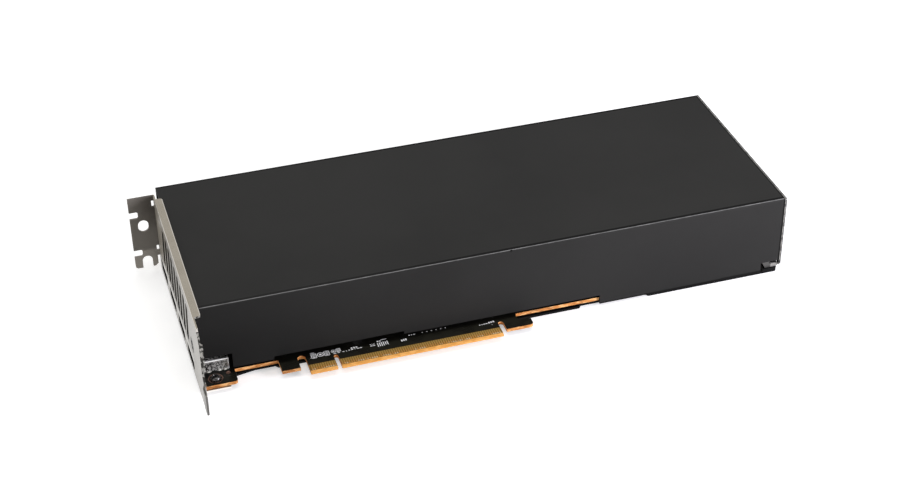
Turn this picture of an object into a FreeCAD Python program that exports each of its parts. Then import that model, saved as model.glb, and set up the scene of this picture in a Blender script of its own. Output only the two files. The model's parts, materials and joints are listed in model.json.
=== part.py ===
import FreeCAD, Part
import math
import os

Vector = FreeCAD.Vector
os.makedirs("parts", exist_ok=True)

# A passive accelerator card of full height and two slots' thickness, lying on its back plate.
# X runs along the card from the bracket's outer face, Y from the connector's tip to the back
# edge and Z up from the board's component side.  Everything is drawn in those coordinates and
# moved by -key_x on export, so the part's origin is the middle of the connector's key.

# ---- sizes in millimetres ----
# card and board
card_length = 267.7
card_back = 109.85
shroud_top = 34.8
board_thickness = 1.57
board_left = 1.6
board_right = card_length - 10.1
shroud_front = 11.4
shroud_sheet = 1.0
board_wall_gap = 0.1
board_front = shroud_front + shroud_sheet + board_wall_gap
key_x = 59.05
key_width = 1.9
key_depth = 8.7
short_contact_length = 11.65
long_contact_length = 71.65
bevel_length = 1.3
bevel_depth = 0.45
ear_front = 4.3
ear_right = 16.2
left_tab_left = 35.0
left_tab_right = 43.0
left_tab_front = 4.6
left_notch_depth = 12.4
right_notch_width = 2.35
right_notch_depth = 9.1
hook_front = 3.0
hook_right = 146.4
hook_arm = 8.0
hook_neck = 140.9

# edge contacts
pad_pitch = 1.0
pad_width = 0.7
pad_front = 1.5
pad_back = 5.2
pad_height = 0.04
pad_end_margin = 1.1
pads_before_key = 11
pads_after_key = 71

# bracket
sheet = 0.86
bracket_bottom = -board_thickness - sheet
bracket_top = shroud_top + 0.65 + sheet
bracket_near = -7.8
bracket_shoulder = 5.3
tongue_low = 2.96
tongue_high = 13.15
tongue_tip = -18.8
tongue_joggle = 0.9
tab_depth = 11.43
tab_face = 100.36
tab_low = -1.1
tab_hole_x = -5.7
tab_hole_width = 4.7
tab_hole_height = 6.0
tab_hole_z = 21.2
tab_notch_top = 4.9
tab_notch_width = 4.6
side_notch_z = 27.3
side_notch_step = 20.32
side_notch_depth = 3.9
side_notch_height = 3.4
flange_depth = 3.6
flange_near = 4.6
flange_far = 97.0
ear_depth = 13.0
ear_near = 3.4
ear_width = 9.4
far_ear_depth = 22.0
far_ear_width = 5.0
vent_count = 9
vent_pitch = 7.1
vent_width = 4.6
vent_low = 10.4
vent_high = 31.6
vent_first = 26.2
vent_lean = 6.0
vent_corner = 0.9
edge_lip = 1.55
edge_lip_low = 16.2
relief_left = -0.95
relief_right = 0.35
relief_levels = ((bracket_bottom - 1, 4.4), (7.2, 9.8), (30.6, 33.8))

# display sockets behind the bracket
socket_count = 4
socket_pitch = 21.5
socket_first = 23.2
socket_width = 18.4
socket_height = 5.4
socket_depth = 13.3
socket_wall = 0.35
socket_start = 1.0
collar_height = socket_height + 1.3
collar_thickness = 0.8
collar_margin = 0.6
socket_mouth_width = 15.4
socket_mouth_low = 0.1
socket_mouth_height = socket_height - 0.2
socket_mouth_corner = 1.6
insert_gap = 0.04

# shroud and end frame
shroud_left = 2.6
end_lip = 0.95
lip_left = card_length - end_lip
lip_joint = 0.2
shroud_right = lip_left - lip_joint
shroud_bend = shroud_sheet + 0.1
wall_low = 1.8
wall_mid = 3.3
wall_deep_gap = 0.05
wall_over_rim = -1.9
rim_left = 238.3
cutout_right = 15.8
cutout_top = 9.2
mid_left = 33.3
mid_right = 90.3
deep_left = 180.2
deep_right = card_length - 9.8
end_wall_low = 2.0
fit_gap = 0.02
frame_left = card_length - 8.7
frame_sheet = 0.9
frame_foot = 7.6
frame_slot_left = card_length - 5.1
frame_slot_low = 0.0
frame_slot_top = 1.3
frame_leg_slant = 2.4
frame_heel_low = -1.5
frame_slot_corner = 0.6
frame_lip_low = -0.8
frame_lip_chamfer = 1.1
nick_left = 138.2
nick_size = 1.0
nick_depth = 0.7

# back plate and film
plate_thickness = 1.1
film_thickness = 0.23
boss_height = 1.1
plate_top = -board_thickness - film_thickness - boss_height
plate_right = card_length - 1.5
plate_corner = 1.2
end_screw_x = plate_right - 2.9
plate_left = 16.9
plate_front = board_front
plate_recess = board_front + 1.5
plate_proud = shroud_front + 0.2
plate_back = card_back - 0.45
plate_steps = ((plate_left, plate_front), (25.0, plate_recess), (33.8, plate_recess), (35.0, plate_front))
plate_steps += ((171.0, plate_front), (172.2, plate_recess), (202.0, plate_recess), (203.5, plate_proud))
rim_gap = 0.05
end_rim_left = card_length - 8.6
end_rim_top = -1.7
boss_radius = 3.2
window_half = 40.0

# heat sink
processor_x = 118.0
processor_y = 62.0
base_low = 7.2
base_thickness = 3.2
base_left = 26.0
base_right = card_length - 29.7
lip_gap = 0.05
lip_thickness = 1.75
lip_front = shroud_front + shroud_sheet + lip_gap
lip_back = card_back - shroud_sheet - lip_gap
base_front = lip_front + lip_thickness + 0.4
base_back = lip_back - lip_thickness - 0.65
pedestal = 62.0
fin_pitch = 1.98
fin_sheet = 0.4
fin_top = shroud_top - 1.5
fin_first = base_front + 1.6
fin_inset = 1.0
fin_fold_gap = 0.02
fin_count = int((base_back - 0.7 - fin_first) / fin_pitch) + 1
retention_reach = 34.0
retention_boss = 3.0
retention_head = 2.6

# retention spring
spring_thickness = 0.8
spring_hub = 13.0
spring_hub_hole = 5.0
spring_arm = 6.0
spring_arm_end = 3.0
spring_eye = 4.6
retention_head_height = 1.0

# cast base frame
cast_low = 5.6
cast_left = 17.5
cast_right = board_right - 1.1
lip_top = 14.0
cast_window = 78.0
arm_width = 5.6
arm_low = 11.5
arm_top = 18.0

# small parts on the board
stage_columns = (180.0, 206.0)
stage_length = 5.0
stage_width = 6.0
stage_height = 0.9
stage_pad_width = 5.2
stage_pad_near = 21.5
stage_pad_far = 98.5
stage_pad_top = 1.9
phase_first = 25.0
phase_pitch = 9.8
phase_count = 8
choke_offset = 4.6
choke_length = 7.0
choke_width = 7.2
choke_height = 4.9
can_columns = (171.0, 224.0)
can_radius = 2.5
can_height = 5.2
ceramic_count = 14
ceramic_pitch = 4.2
ceramic_length = 1.6
ceramic_width = 0.8
ceramic_offset = 3.0
control_chip_boxes = ((38.0, 40.0, 7.0, 7.0, 0.9), (38.0, 62.0, 7.0, 7.0, 0.9), (56.0, 84.0, 6.0, 6.0, 1.0))
firmware_chip_box = (56.0, 40.0, 5.2, 6.2, 1.6)

# package
package_size = 56.0
package_height = 1.8
memory_length = 7.8
memory_width = 11.8
memory_gap = 0.5
memory_row = 6.6
die_x = 30.0
die_y = 27.0
die_height = 0.7
ring_outer = 55.0
ring_inner = 49.0
ring_height = 0.6
compound_height = 0.1

# screws
flats = 8
screw_radius = 1.2
screw_gap = 0.02
head_radius = 2.2
bracket_screw_radius = 1.4
bracket_head_radius = 2.15
bracket_head_height = 1.5
frame_screw_x = (base_left, 70.0, 168.0, base_right - 2.0)
frame_screw_y = (19.0, card_back - 6.85)
near_ear_hole = (7.4, 8.6)
far_ear_hole = (19.4, 98.6)
face_hole = (lip_front + 1.75, 15.4)
face_screw_length = 6.0
shroud_screw_x = (60.0, 140.0, base_right - 18.0)
shroud_screw_z = 10.6
shroud_screw_radius = 1.0
shroud_head_radius = 2.0

# power socket
power_right = card_length - 1.3
power_length = 20.4
power_depth = 12.5
power_left = power_right - power_length
power_y = 78.0
power_cell = 4.2
power_columns = 4
power_rows = 2
power_wall = 0.95
power_low = 0.3

# parts that follow from the sizes above
board_back = card_back - shroud_sheet - board_wall_gap
connector_left = key_x - key_width / 2 - short_contact_length
connector_right = key_x + key_width / 2 + long_contact_length
plate_low = plate_top - plate_thickness
wall_deep = plate_top + wall_deep_gap
film_low = -board_thickness - film_thickness
wall_inner_front = shroud_front + shroud_sheet
wall_inner_back = card_back - shroud_sheet
pedestal_low = package_height + die_height + compound_height
frame_holes = [(x, y) for x in frame_screw_x for y in frame_screw_y]
retention_holes = [
    (processor_x + sx * retention_reach, processor_y + sy * retention_reach)
    for sx in (-1, 1)
    for sy in (-1, 1)
]


# ---- drawing helpers ----
def on_xy(z):
    return lambda a, b: Vector(a, b, z)


def on_yz(x):
    return lambda a, b: Vector(x, a, b)


def on_xz(y):
    return lambda a, b: Vector(a, y, b)


def face(corners, place):
    # a flat face from corners (a, b, radius), each corner rounded by its radius
    count = len(corners)
    joints = []
    for i in range(count):
        before = Vector(corners[i - 1][0], corners[i - 1][1], 0)
        here = Vector(corners[i][0], corners[i][1], 0)
        after = Vector(corners[(i + 1) % count][0], corners[(i + 1) % count][1], 0)
        radius = corners[i][2] if len(corners[i]) > 2 else 0
        if radius <= 0:
            joints.append((here, None, here))
            continue
        back = (before - here).normalize()
        on = (after - here).normalize()
        half = back.getAngle(on) / 2
        reach = radius / math.tan(half)
        centre = here + (back + on).normalize() * (radius / math.sin(half))
        middle = centre + (here - centre).normalize() * radius
        joints.append((here + back * reach, middle, here + on * reach))
    edges = []
    for i in range(count):
        start, middle, end = joints[i]
        last = joints[i - 1][2]
        if (start - last).Length > 1e-6:
            edges.append(Part.makeLine(place(last.x, last.y), place(start.x, start.y)))
        if middle is not None:
            arc = Part.Arc(place(start.x, start.y), place(middle.x, middle.y), place(end.x, end.y))
            edges.append(arc.toShape())
    return Part.Face(Part.Wire(edges))


def slab(corners, low, high):
    return face(corners, on_xy(low)).extrude(Vector(0, 0, high - low))


def panel(corners, left, right):
    return face(corners, on_yz(left)).extrude(Vector(right - left, 0, 0))


def cheek(corners, near, far):
    return face(corners, on_xz(near)).extrude(Vector(0, far - near, 0))


def box(x0, x1, y0, y1, z0, z1):
    return Part.makeBox(x1 - x0, y1 - y0, z1 - z0, Vector(x0, y0, z0))


def rectangle(a0, a1, b0, b1, radius=0):
    return [(a0, b0, radius), (a1, b0, radius), (a1, b1, radius), (a0, b1, radius)]


def bevelled(corners, size):
    # the same outline with each corner cut off by a short straight edge
    outline = []
    count = len(corners)
    for i in range(count):
        here = Vector(corners[i][0], corners[i][1], 0)
        for other in (corners[i - 1], corners[(i + 1) % count]):
            along = (Vector(other[0], other[1], 0) - here).normalize() * size
            outline.append((here.x + along.x, here.y + along.y))
    return outline


def ring_points(radius, height):
    # the corners of a small round part, which is drawn with a few flats
    step = 2 * math.pi / flats
    points = []
    for i in range(flats):
        angle = (i + 0.5) * step
        points.append(Vector(radius * math.cos(angle), radius * math.sin(angle), height))
    return points


def taper(radius_low, radius_high, height):
    # a small pin, hole or screw head standing on the origin
    low = ring_points(radius_low, 0)
    high = ring_points(radius_high, height)
    faces = [Part.Face(Part.makePolygon(low + [low[0]])), Part.Face(Part.makePolygon(high + [high[0]]))]
    for i in range(flats):
        after = (i + 1) % flats
        side = [low[i], low[after], high[after], high[i], low[i]]
        faces.append(Part.Face(Part.makePolygon(side)))
    solid = Part.Solid(Part.Shell(faces))
    if solid.Volume < 0:
        solid.reverse()
    return solid


def post(x, y, radius, low, high):
    pin = taper(radius, radius, high - low)
    pin.translate(Vector(x, y, low))
    return pin


def side_post(radius, length, start, turn):
    # a small pin or hole that lies along X or Y: turn is (axis, degrees) from upright
    pin = taper(radius, radius, length)
    pin.rotate(Vector(0, 0, 0), turn[0], turn[1])
    pin.translate(start)
    return pin


def join(shapes):
    whole = shapes[0]
    for extra in shapes[1:]:
        whole = whole.fuse(extra)
    return whole.removeSplitter()


def cut(shape, tools):
    for tool in tools:
        shape = shape.cut(tool)
    return shape


def save(name, shape):
    moved = shape.copy()
    moved.translate(Vector(-key_x, 0, 0))
    moved.exportStep("parts/" + name + ".step")
    print(name, len(moved.Solids), "solids", "valid" if moved.isValid() else "NOT VALID")


# ---- main board ----
def make_board():
    half_key = key_width / 2
    notch_right = connector_right + right_notch_width
    corners = [
        (board_left, ear_front, 0),
        (ear_right, ear_front, 1.5),
        (ear_right, board_front, 0),
        (left_tab_left, board_front, 0),
        (left_tab_left, left_tab_front, 0),
        (left_tab_right, left_tab_front, 0),
        (left_tab_right, left_notch_depth, 1.7),
        (connector_left, left_notch_depth, 1.7),
        (connector_left, 0, 0),
        (key_x - half_key, 0, 0),
        (key_x - half_key, key_depth, half_key - 0.01),
        (key_x + half_key, key_depth, half_key - 0.01),
        (key_x + half_key, 0, 0),
        (connector_right, 0, 0),
        (connector_right, right_notch_depth, right_notch_width / 2 - 0.01),
        (notch_right, right_notch_depth, right_notch_width / 2 - 0.01),
        (notch_right, hook_front, 0),
        (hook_right, hook_front, 1.6),
        (hook_right, hook_arm, 0),
        (hook_neck, hook_arm, 0),
        (hook_neck, board_front, 1.2),
        (board_right, board_front, 0),
        (board_right, board_back, 0),
        (board_left, board_back, 0),
    ]
    board = slab(corners, -board_thickness, 0)
    # the connector's tip is bevelled on both sides so that it enters its socket
    for side in (0, 1):
        level = -side * board_thickness
        inward = bevel_depth if side else -bevel_depth
        wedge = [(-1, level - inward), (-1, level + inward), (0, level + inward), (bevel_length, level)]
        wedge.append((bevel_length, level - inward))
        board = board.cut(panel(wedge, connector_left - 1, connector_right + 1))
    holes = [post(x, y, screw_radius + 0.25, -board_thickness, 0) for x, y in frame_holes]
    holes += [post(x, y, screw_radius + 0.5, -board_thickness, 0) for x, y in retention_holes]
    for x, y in (near_ear_hole, far_ear_hole):
        holes.append(post(x, y, bracket_screw_radius + 0.2, -board_thickness, 0))
    return cut(board, holes)


def contact_positions():
    first = connector_left + pad_end_margin
    after = connector_right - pad_end_margin - (pads_after_key - 1) * pad_pitch
    before_key = [first + i * pad_pitch for i in range(pads_before_key)]
    return before_key + [after + i * pad_pitch for i in range(pads_after_key)]


def make_contacts():
    pads = []
    for x in contact_positions():
        for low in (0, -board_thickness - pad_height):
            pads.append(box(x - pad_width / 2, x + pad_width / 2, pad_front, pad_back, low, low + pad_height))
    return Part.makeCompound(pads)


# ---- bracket ----
def socket_centres():
    return [socket_first + i * socket_pitch for i in range(socket_count)]


def make_bracket():
    shoulder = bracket_near - 2.4
    outline = [
        (tab_face + sheet, bracket_bottom),
        (tab_face + sheet, bracket_top),
        (bracket_near + bracket_shoulder - 0.8, bracket_top),
        (bracket_near, bracket_top - bracket_shoulder),
        (bracket_near, tongue_high + 2.4),
        (shoulder, tongue_high),
        (shoulder, tongue_low),
        (shoulder + 5.2, bracket_bottom),
    ]
    plate = panel(outline, 0, sheet)
    tongue_path = [
        (0, shoulder + 1),
        (0, shoulder),
        (-tongue_joggle, shoulder - 2.6),
        (-tongue_joggle, tongue_tip),
        (sheet - tongue_joggle, tongue_tip),
        (sheet - tongue_joggle, shoulder - 2.8),
        (sheet, shoulder - 0.2),
        (sheet, shoulder + 1),
    ]
    tongue = slab(tongue_path, tongue_low, tongue_high)
    tip = [
        (tongue_tip, tongue_low, 1.4),
        (shoulder + 1, tongue_low, 0),
        (shoulder + 1, tongue_high, 0),
        (tongue_tip, tongue_high, 1.4),
    ]
    tongue = tongue.common(panel(tip, -3, 3))
    flange_outline = [
        (0, flange_near, 0),
        (flange_depth, flange_near, 1.1),
        (flange_depth, flange_far, 1.1),
        (0, flange_far, 0),
    ]
    flange = slab(flange_outline, bracket_top - sheet, bracket_top)
    tab = cheek(
        [
            (-tab_depth, tab_low, 1.4),
            (sheet, tab_low, 0),
            (sheet, bracket_top, 0),
            (-tab_depth, bracket_top, 0),
        ],
        tab_face,
        tab_face + sheet,
    )
    near_ear = slab(
        rectangle(0, ear_depth, ear_near, ear_near + ear_width),
        bracket_bottom,
        bracket_bottom + sheet,
    )
    far_ear = slab(
        rectangle(0, far_ear_depth, tab_face + sheet - far_ear_width, tab_face + sheet),
        bracket_bottom,
        bracket_bottom + sheet,
    )
    # the near edge is turned inwards a little, which stiffens it
    turned_edge = cheek(
        [
            (sheet - 0.1, edge_lip_low),
            (edge_lip, edge_lip_low + 0.4),
            (edge_lip, bracket_top - bracket_shoulder - 0.4),
            (sheet - 0.1, bracket_top - bracket_shoulder),
        ],
        bracket_near,
        bracket_near + sheet,
    )
    bracket = join([plate, tongue, flange, tab, near_ear, far_ear, turned_edge])
    bracket = round_bends(bracket)
    return cut(bracket, bracket_openings())


def round_bends(bracket):
    # the outside of each fold: plate to flange, and plate to tab
    chosen = []
    for edge in bracket.Edges:
        low = edge.BoundBox
        thin_x = low.XLength < 1e-6
        along_flange = thin_x and low.ZLength < 1e-6 and abs(low.XMin) < 1e-6
        if along_flange and abs(low.ZMin - bracket_top) < 1e-6 and low.YLength > 40:
            chosen.append(edge)
        upright = thin_x and low.YLength < 1e-6 and low.ZLength > 20
        if upright and abs(low.XMin - sheet) < 1e-6 and abs(low.YMin - tab_face - sheet) < 1e-6:
            chosen.append(edge)
    if chosen:
        bracket = bracket.makeFillet(sheet * 0.9, chosen)
    return bracket


def bracket_openings():
    tools = []
    # leaning vent slots
    for i in range(vent_count):
        low_y = vent_first + i * vent_pitch
        high_y = low_y - vent_lean
        half = vent_width / 2
        slot = [
            (low_y - half, vent_low),
            (low_y + half, vent_low),
            (high_y + half, vent_high),
            (high_y - half, vent_high),
        ]
        tools.append(panel(bevelled(slot, vent_corner), -1, sheet + 1))
    # display socket mouths, one lower corner cut off
    floor = socket_mouth_low
    for centre in socket_centres():
        left = centre - socket_mouth_width / 2
        right = centre + socket_mouth_width / 2
        mouth = [
            (left + socket_mouth_corner, floor),
            (right, floor),
            (right, floor + socket_mouth_height),
            (left, floor + socket_mouth_height),
            (left, floor + socket_mouth_corner),
        ]
        tools.append(panel(mouth, -1, sheet + 0.05))
    # the tab's oval hole, its open slot and two notches in its outer edge
    oval = rectangle(
        tab_hole_x - tab_hole_width / 2,
        tab_hole_x + tab_hole_width / 2,
        tab_hole_z - tab_hole_height / 2,
        tab_hole_z + tab_hole_height / 2,
        tab_hole_width / 2 - 0.01,
    )
    tools.append(cheek(oval, tab_face - 1, tab_face + sheet + 1))
    half = tab_notch_width / 2
    open_slot = [
        (tab_hole_x - half, tab_low - 2, 0),
        (tab_hole_x + half, tab_low - 2, 0),
        (tab_hole_x + half, tab_notch_top, half - 0.01),
        (tab_hole_x - half, tab_notch_top, half - 0.01),
    ]
    tools.append(cheek(open_slot, tab_face - 1, tab_face + sheet + 1))
    for level in (side_notch_z, side_notch_z - side_notch_step):
        low = level - side_notch_height / 2
        notch = rectangle(-tab_depth - 2, -tab_depth + side_notch_depth, low, low + side_notch_height)
        tools.append(cheek(bevelled(notch, 0.5), tab_face - 1, tab_face + sheet + 1))
    # relief cuts on the tab's fold, and the tab's inner corner
    for low, high in relief_levels:
        tools.append(box(relief_left, relief_right, tab_face - 0.6, tab_face + sheet + 1, low, high))
    corner = [(relief_left, tab_low - 0.1), (relief_left - 1.45, tab_low - 0.1), (relief_left, tab_low + 1.2)]
    tools.append(cheek(corner, tab_face - 1, tab_face + sheet + 1))
    # screw holes
    for x, y in (near_ear_hole, far_ear_hole):
        tools.append(post(x, y, bracket_screw_radius + screw_gap, bracket_bottom - 1, -board_thickness + 0.1))
    tools.append(face_screw(screw_gap))
    return tools


def pan_screw(shank_length):
    # a pan head screw pointing down from the origin
    edge = bracket_head_height * 0.6
    crown = taper(bracket_head_radius, bracket_head_radius * 0.75, bracket_head_height - edge)
    crown.translate(Vector(0, 0, edge))
    screw = taper(bracket_head_radius, bracket_head_radius, edge).fuse(crown)
    return screw.fuse(post(0, 0, bracket_screw_radius, -shank_length, 0)).removeSplitter()


def face_screw(gap):
    # a flat head let into the bracket's face, with its shank along X
    head = taper(bracket_head_radius + gap, bracket_screw_radius + gap, sheet)
    screw = head.fuse(post(0, 0, bracket_screw_radius + gap, 0, face_screw_length)).removeSplitter()
    screw.rotate(Vector(0, 0, 0), Vector(0, 1, 0), 90)
    screw.translate(Vector(0, face_hole[0], face_hole[1]))
    return screw


def make_bracket_screws():
    screws = []
    for x, y in (near_ear_hole, far_ear_hole):
        screw = pan_screw(board_thickness + sheet + 0.3)
        screw.translate(Vector(x, y, 0))
        screws.append(screw)
    screws.append(face_screw(0))
    return Part.makeCompound(screws)


# ---- display sockets ----
def make_socket_shells():
    shells = []
    for centre in socket_centres():
        left = centre - socket_width / 2
        right = centre + socket_width / 2
        rear = socket_start + socket_depth
        body = box(socket_start, rear, left, right, 0, socket_height)
        collar = box(
            socket_start,
            socket_start + collar_thickness,
            left - collar_margin,
            right + collar_margin,
            0,
            collar_height,
        )
        shell = body.fuse(collar)
        hollow = box(
            socket_start - 1,
            rear - socket_wall,
            left + socket_wall,
            right - socket_wall,
            socket_wall,
            socket_height - socket_wall,
        )
        shells.append(shell.cut(hollow).removeSplitter())
    return Part.makeCompound(shells)


def make_socket_inserts():
    inserts = []
    for centre in socket_centres():
        left = centre - socket_width / 2 + socket_wall + insert_gap
        right = centre + socket_width / 2 - socket_wall - insert_gap
        low = socket_wall + insert_gap
        high = socket_height - socket_wall - insert_gap
        rear = socket_start + socket_depth - socket_wall - insert_gap
        back = box(rear - 4.0, rear, left, right, low, high)
        blade = box(socket_start + 1.6, rear - 3.9, left + 1.6, right - 1.6, 2.9, 4.1)
        inserts.append(back.fuse(blade).removeSplitter())
    return Part.makeCompound(inserts)


# ---- shroud and end frame ----
def folded_section(front, back, top, thickness, outer_radius, low):
    # an inverted channel: two walls and a top with rounded folds
    inner_radius = max(outer_radius - thickness, 0.15)
    return [
        (front, low, 0),
        (front + thickness, low, 0),
        (front + thickness, top - thickness, inner_radius),
        (back - thickness, top - thickness, inner_radius),
        (back - thickness, low, 0),
        (back, low, 0),
        (back, top, outer_radius),
        (front, top, outer_radius),
    ]


def wall_edge(profile, right_end):
    # the lower edge of a side wall, as (start x, level) steps, closed well below the card
    corners = []
    for i, (start, level) in enumerate(profile):
        end = profile[i + 1][0] if i + 1 < len(profile) else right_end
        corners.append((start, level))
        corners.append((end, level))
    corners.append((right_end, -20))
    corners.append((profile[0][0], -20))
    return corners


def make_shroud():
    section = folded_section(shroud_front, card_back, shroud_top, shroud_sheet, shroud_bend, wall_deep)
    shroud = panel(section, shroud_left, shroud_right)
    front_steps = [
        (shroud_left - 1, cutout_top),
        (cutout_right, wall_low),
        (mid_left, wall_mid),
        (mid_right, wall_low),
        (deep_left, wall_deep),
        (rim_left, wall_over_rim),
        (deep_right, end_wall_low),
    ]
    back_steps = [(shroud_left - 1, wall_low)] + front_steps[-3:]
    near = cheek(wall_edge(front_steps, shroud_right + 1), shroud_front - 1, wall_inner_front + 1)
    far = cheek(wall_edge(back_steps, shroud_right + 1), wall_inner_back - 1, card_back + 1)
    shroud = cut(shroud, [near, far])
    # a small nick where the press tool started the front fold
    nick = box(
        nick_left,
        nick_left + nick_size,
        shroud_front - 1,
        shroud_front + nick_depth,
        shroud_top - nick_depth,
        shroud_top + 1,
    )
    shroud = shroud.cut(nick)
    holes = []
    for x in shroud_screw_x:
        holes.append(countersink(x, screw_gap))
    return cut(shroud, holes)


def countersink(x, gap):
    # a flat head let into the back wall, with its shank
    screw = taper(shroud_head_radius + gap, shroud_screw_radius + gap, shroud_sheet)
    shank = post(0, 0, shroud_screw_radius + gap, 0, shroud_sheet + lip_thickness)
    screw = screw.fuse(shank).removeSplitter()
    screw.rotate(Vector(0, 0, 0), Vector(1, 0, 0), 90)
    screw.translate(Vector(x, card_back, shroud_screw_z))
    return screw


def make_shroud_screws():
    return Part.makeCompound([countersink(x, 0) for x in shroud_screw_x])


def make_end_frame():
    inner_front = wall_inner_front + fit_gap
    inner_back = wall_inner_back - fit_gap
    inner_top = shroud_top - shroud_sheet - fit_gap
    sleeve = panel(
        folded_section(inner_front, inner_back, inner_top, frame_sheet, 0.9, plate_top),
        frame_left,
        lip_left,
    )
    thickness = inner_front + frame_sheet - shroud_front
    lip = panel(
        folded_section(shroud_front, card_back, shroud_top, thickness, shroud_bend, frame_lip_low),
        lip_left,
        card_length,
    )
    # each end of the lip has its lower corner cut off
    corner = [
        (card_length - frame_lip_chamfer, frame_lip_low - 0.1),
        (card_length + 0.1, frame_lip_low - 0.1),
        (card_length + 0.1, frame_lip_low + frame_lip_chamfer),
    ]
    lip = lip.cut(cheek(corner, shroud_front - 1, card_back + 1))
    frame = sleeve.fuse(lip)
    # a slot in each leg shows between the shroud's edge and the leg's foot
    slot = [
        (frame_slot_left, frame_slot_low, frame_slot_corner),
        (lip_left, frame_slot_low),
        (lip_left, frame_slot_top),
        (frame_slot_left, frame_slot_top, frame_slot_corner),
    ]
    # the leg's front edge slants back to its foot, and its heel is cut short under the lip
    slant = [
        (frame_left - 1, frame_slot_top),
        (frame_left, frame_slot_top),
        (frame_left + frame_leg_slant, plate_top),
        (frame_left + frame_leg_slant, plate_top - 1),
        (frame_left - 1, plate_top - 1),
    ]
    heel = rectangle(plate_right, lip_left + 1, plate_top - 1, frame_heel_low)
    for near, far in ((shroud_front - 1, inner_front + 1), (inner_back - 1, card_back + 1)):
        for opening in (slot, slant, heel):
            frame = frame.cut(cheek(opening, near, far))
    for start, end in ((inner_front, inner_front + frame_foot), (inner_back - frame_foot, inner_back)):
        outline = bevelled(rectangle(frame_left + frame_leg_slant, plate_right, start, end), 0.8)
        foot = slab(outline, plate_top, plate_top + frame_sheet)
        frame = frame.fuse(foot)
    frame = frame.removeSplitter()
    for x, y in end_screw_spots():
        frame = frame.cut(post(x, y, screw_radius + screw_gap, plate_top - 1, plate_top + 2))
    return frame


def end_screw_spots():
    return [(end_screw_x, wall_inner_front + 4.6), (end_screw_x, wall_inner_back - 4.6)]


def flat_screw(x, y, low, top):
    # a flat head screw driven upwards, its head flush with the back plate's underside
    head = taper(head_radius, screw_radius, plate_thickness - 0.05)
    head.translate(Vector(x, y, low))
    return head.fuse(post(x, y, screw_radius, low, top)).removeSplitter()


def make_end_screws():
    top = plate_top + frame_sheet + 0.6
    return Part.makeCompound([flat_screw(x, y, plate_low, top) for x, y in end_screw_spots()])


def make_frame_screws():
    return Part.makeCompound([flat_screw(x, y, plate_low, cast_low - 1.0) for x, y in frame_holes])


# ---- back plate, film and spring ----
def make_back_plate():
    tab_clear = tab_face + sheet + 3.3
    corners = list(plate_steps) + [
        (plate_right, plate_proud, plate_corner),
        (plate_right, plate_back, plate_corner),
        (far_ear_depth + 4.0, plate_back),
        (far_ear_depth + 4.0, tab_clear),
        (plate_left, tab_clear),
    ]
    plate = slab(corners, plate_low, plate_top)
    plate = plate.cut(slab(processor_window(window_half, 5.0), plate_low - 1, plate_top + 1))
    # pressed bosses reach past the film to the board
    bosses = [post(x, y, boss_radius, plate_top, -board_thickness) for x, y in frame_holes]
    plate = join([plate] + bosses + plate_rims(corners))
    holes = []
    for x, y in frame_holes + end_screw_spots():
        head = taper(head_radius + screw_gap, screw_radius + screw_gap, plate_thickness - 0.05)
        head.translate(Vector(x, y, plate_low))
        holes.append(head)
        holes.append(post(x, y, screw_radius + screw_gap, plate_low, 0))
    return cut(plate, holes)


def plate_rims(corners):
    # near the rear end both long edges are turned up, under the shroud's walls and beside the end frame
    rims = []
    wall_rim = (rim_left + fit_gap, deep_right, wall_over_rim - rim_gap)
    end_rim = (end_rim_left, plate_right, end_rim_top)
    for start, end, top in (wall_rim, end_rim):
        outline = slab(corners, plate_top, top)
        for near, far in ((plate_proud, wall_inner_front - fit_gap), (wall_inner_back + fit_gap, plate_back)):
            rims.append(outline.common(box(start, end, near, far, plate_top, top)))
    return rims


def processor_window(half, radius):
    return rectangle(
        processor_x - half,
        processor_x + half,
        processor_y - half,
        processor_y + half,
        radius,
    )


def make_film():
    # the film lies between the two rows of bosses
    near = frame_screw_y[0] + boss_radius + 0.6
    far = frame_screw_y[1] - boss_radius - 0.6
    film = slab(rectangle(18.5, board_right - 2.1, near, far), film_low, -board_thickness)
    # clear of the bracket's far ear and its screw
    ear_edge = tab_face + sheet - far_ear_width - 1.7
    film = film.cut(box(10, far_ear_depth + 1.5, ear_edge, card_back, film_low - 1, 0))
    holes = [post(x, y, screw_radius + 0.6, film_low, -board_thickness) for x, y in retention_holes]
    return cut(film, holes)


def make_spring():
    low = film_low - spring_thickness
    reach = retention_reach * math.sqrt(2)
    centre = Vector(processor_x, processor_y, 0)
    shapes = [post(processor_x, processor_y, spring_hub, low, film_low)]
    for angle in (45, 135):
        arm = slab(
            [
                (processor_x - reach, processor_y - spring_arm_end),
                (processor_x, processor_y - spring_arm),
                (processor_x + reach, processor_y - spring_arm_end),
                (processor_x + reach, processor_y + spring_arm_end),
                (processor_x, processor_y + spring_arm),
                (processor_x - reach, processor_y + spring_arm_end),
            ],
            low,
            film_low,
        )
        arm.rotate(centre, Vector(0, 0, 1), angle)
        shapes.append(arm)
    shapes += [post(x, y, spring_eye, low, film_low) for x, y in retention_holes]
    spring = join(shapes)
    holes = [post(x, y, screw_radius + 0.1, low - 1, 0) for x, y in retention_holes]
    holes.append(post(processor_x, processor_y, spring_hub_hole, low - 1, 0))
    return cut(spring, holes)


def make_retention_screws():
    screws = []
    low = film_low - spring_thickness
    for x, y in retention_holes:
        head = post(x, y, retention_head, low - retention_head_height, low)
        screws.append(head.fuse(post(x, y, screw_radius, low, 4.6)).removeSplitter())
    return Part.makeCompound(screws)


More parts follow.
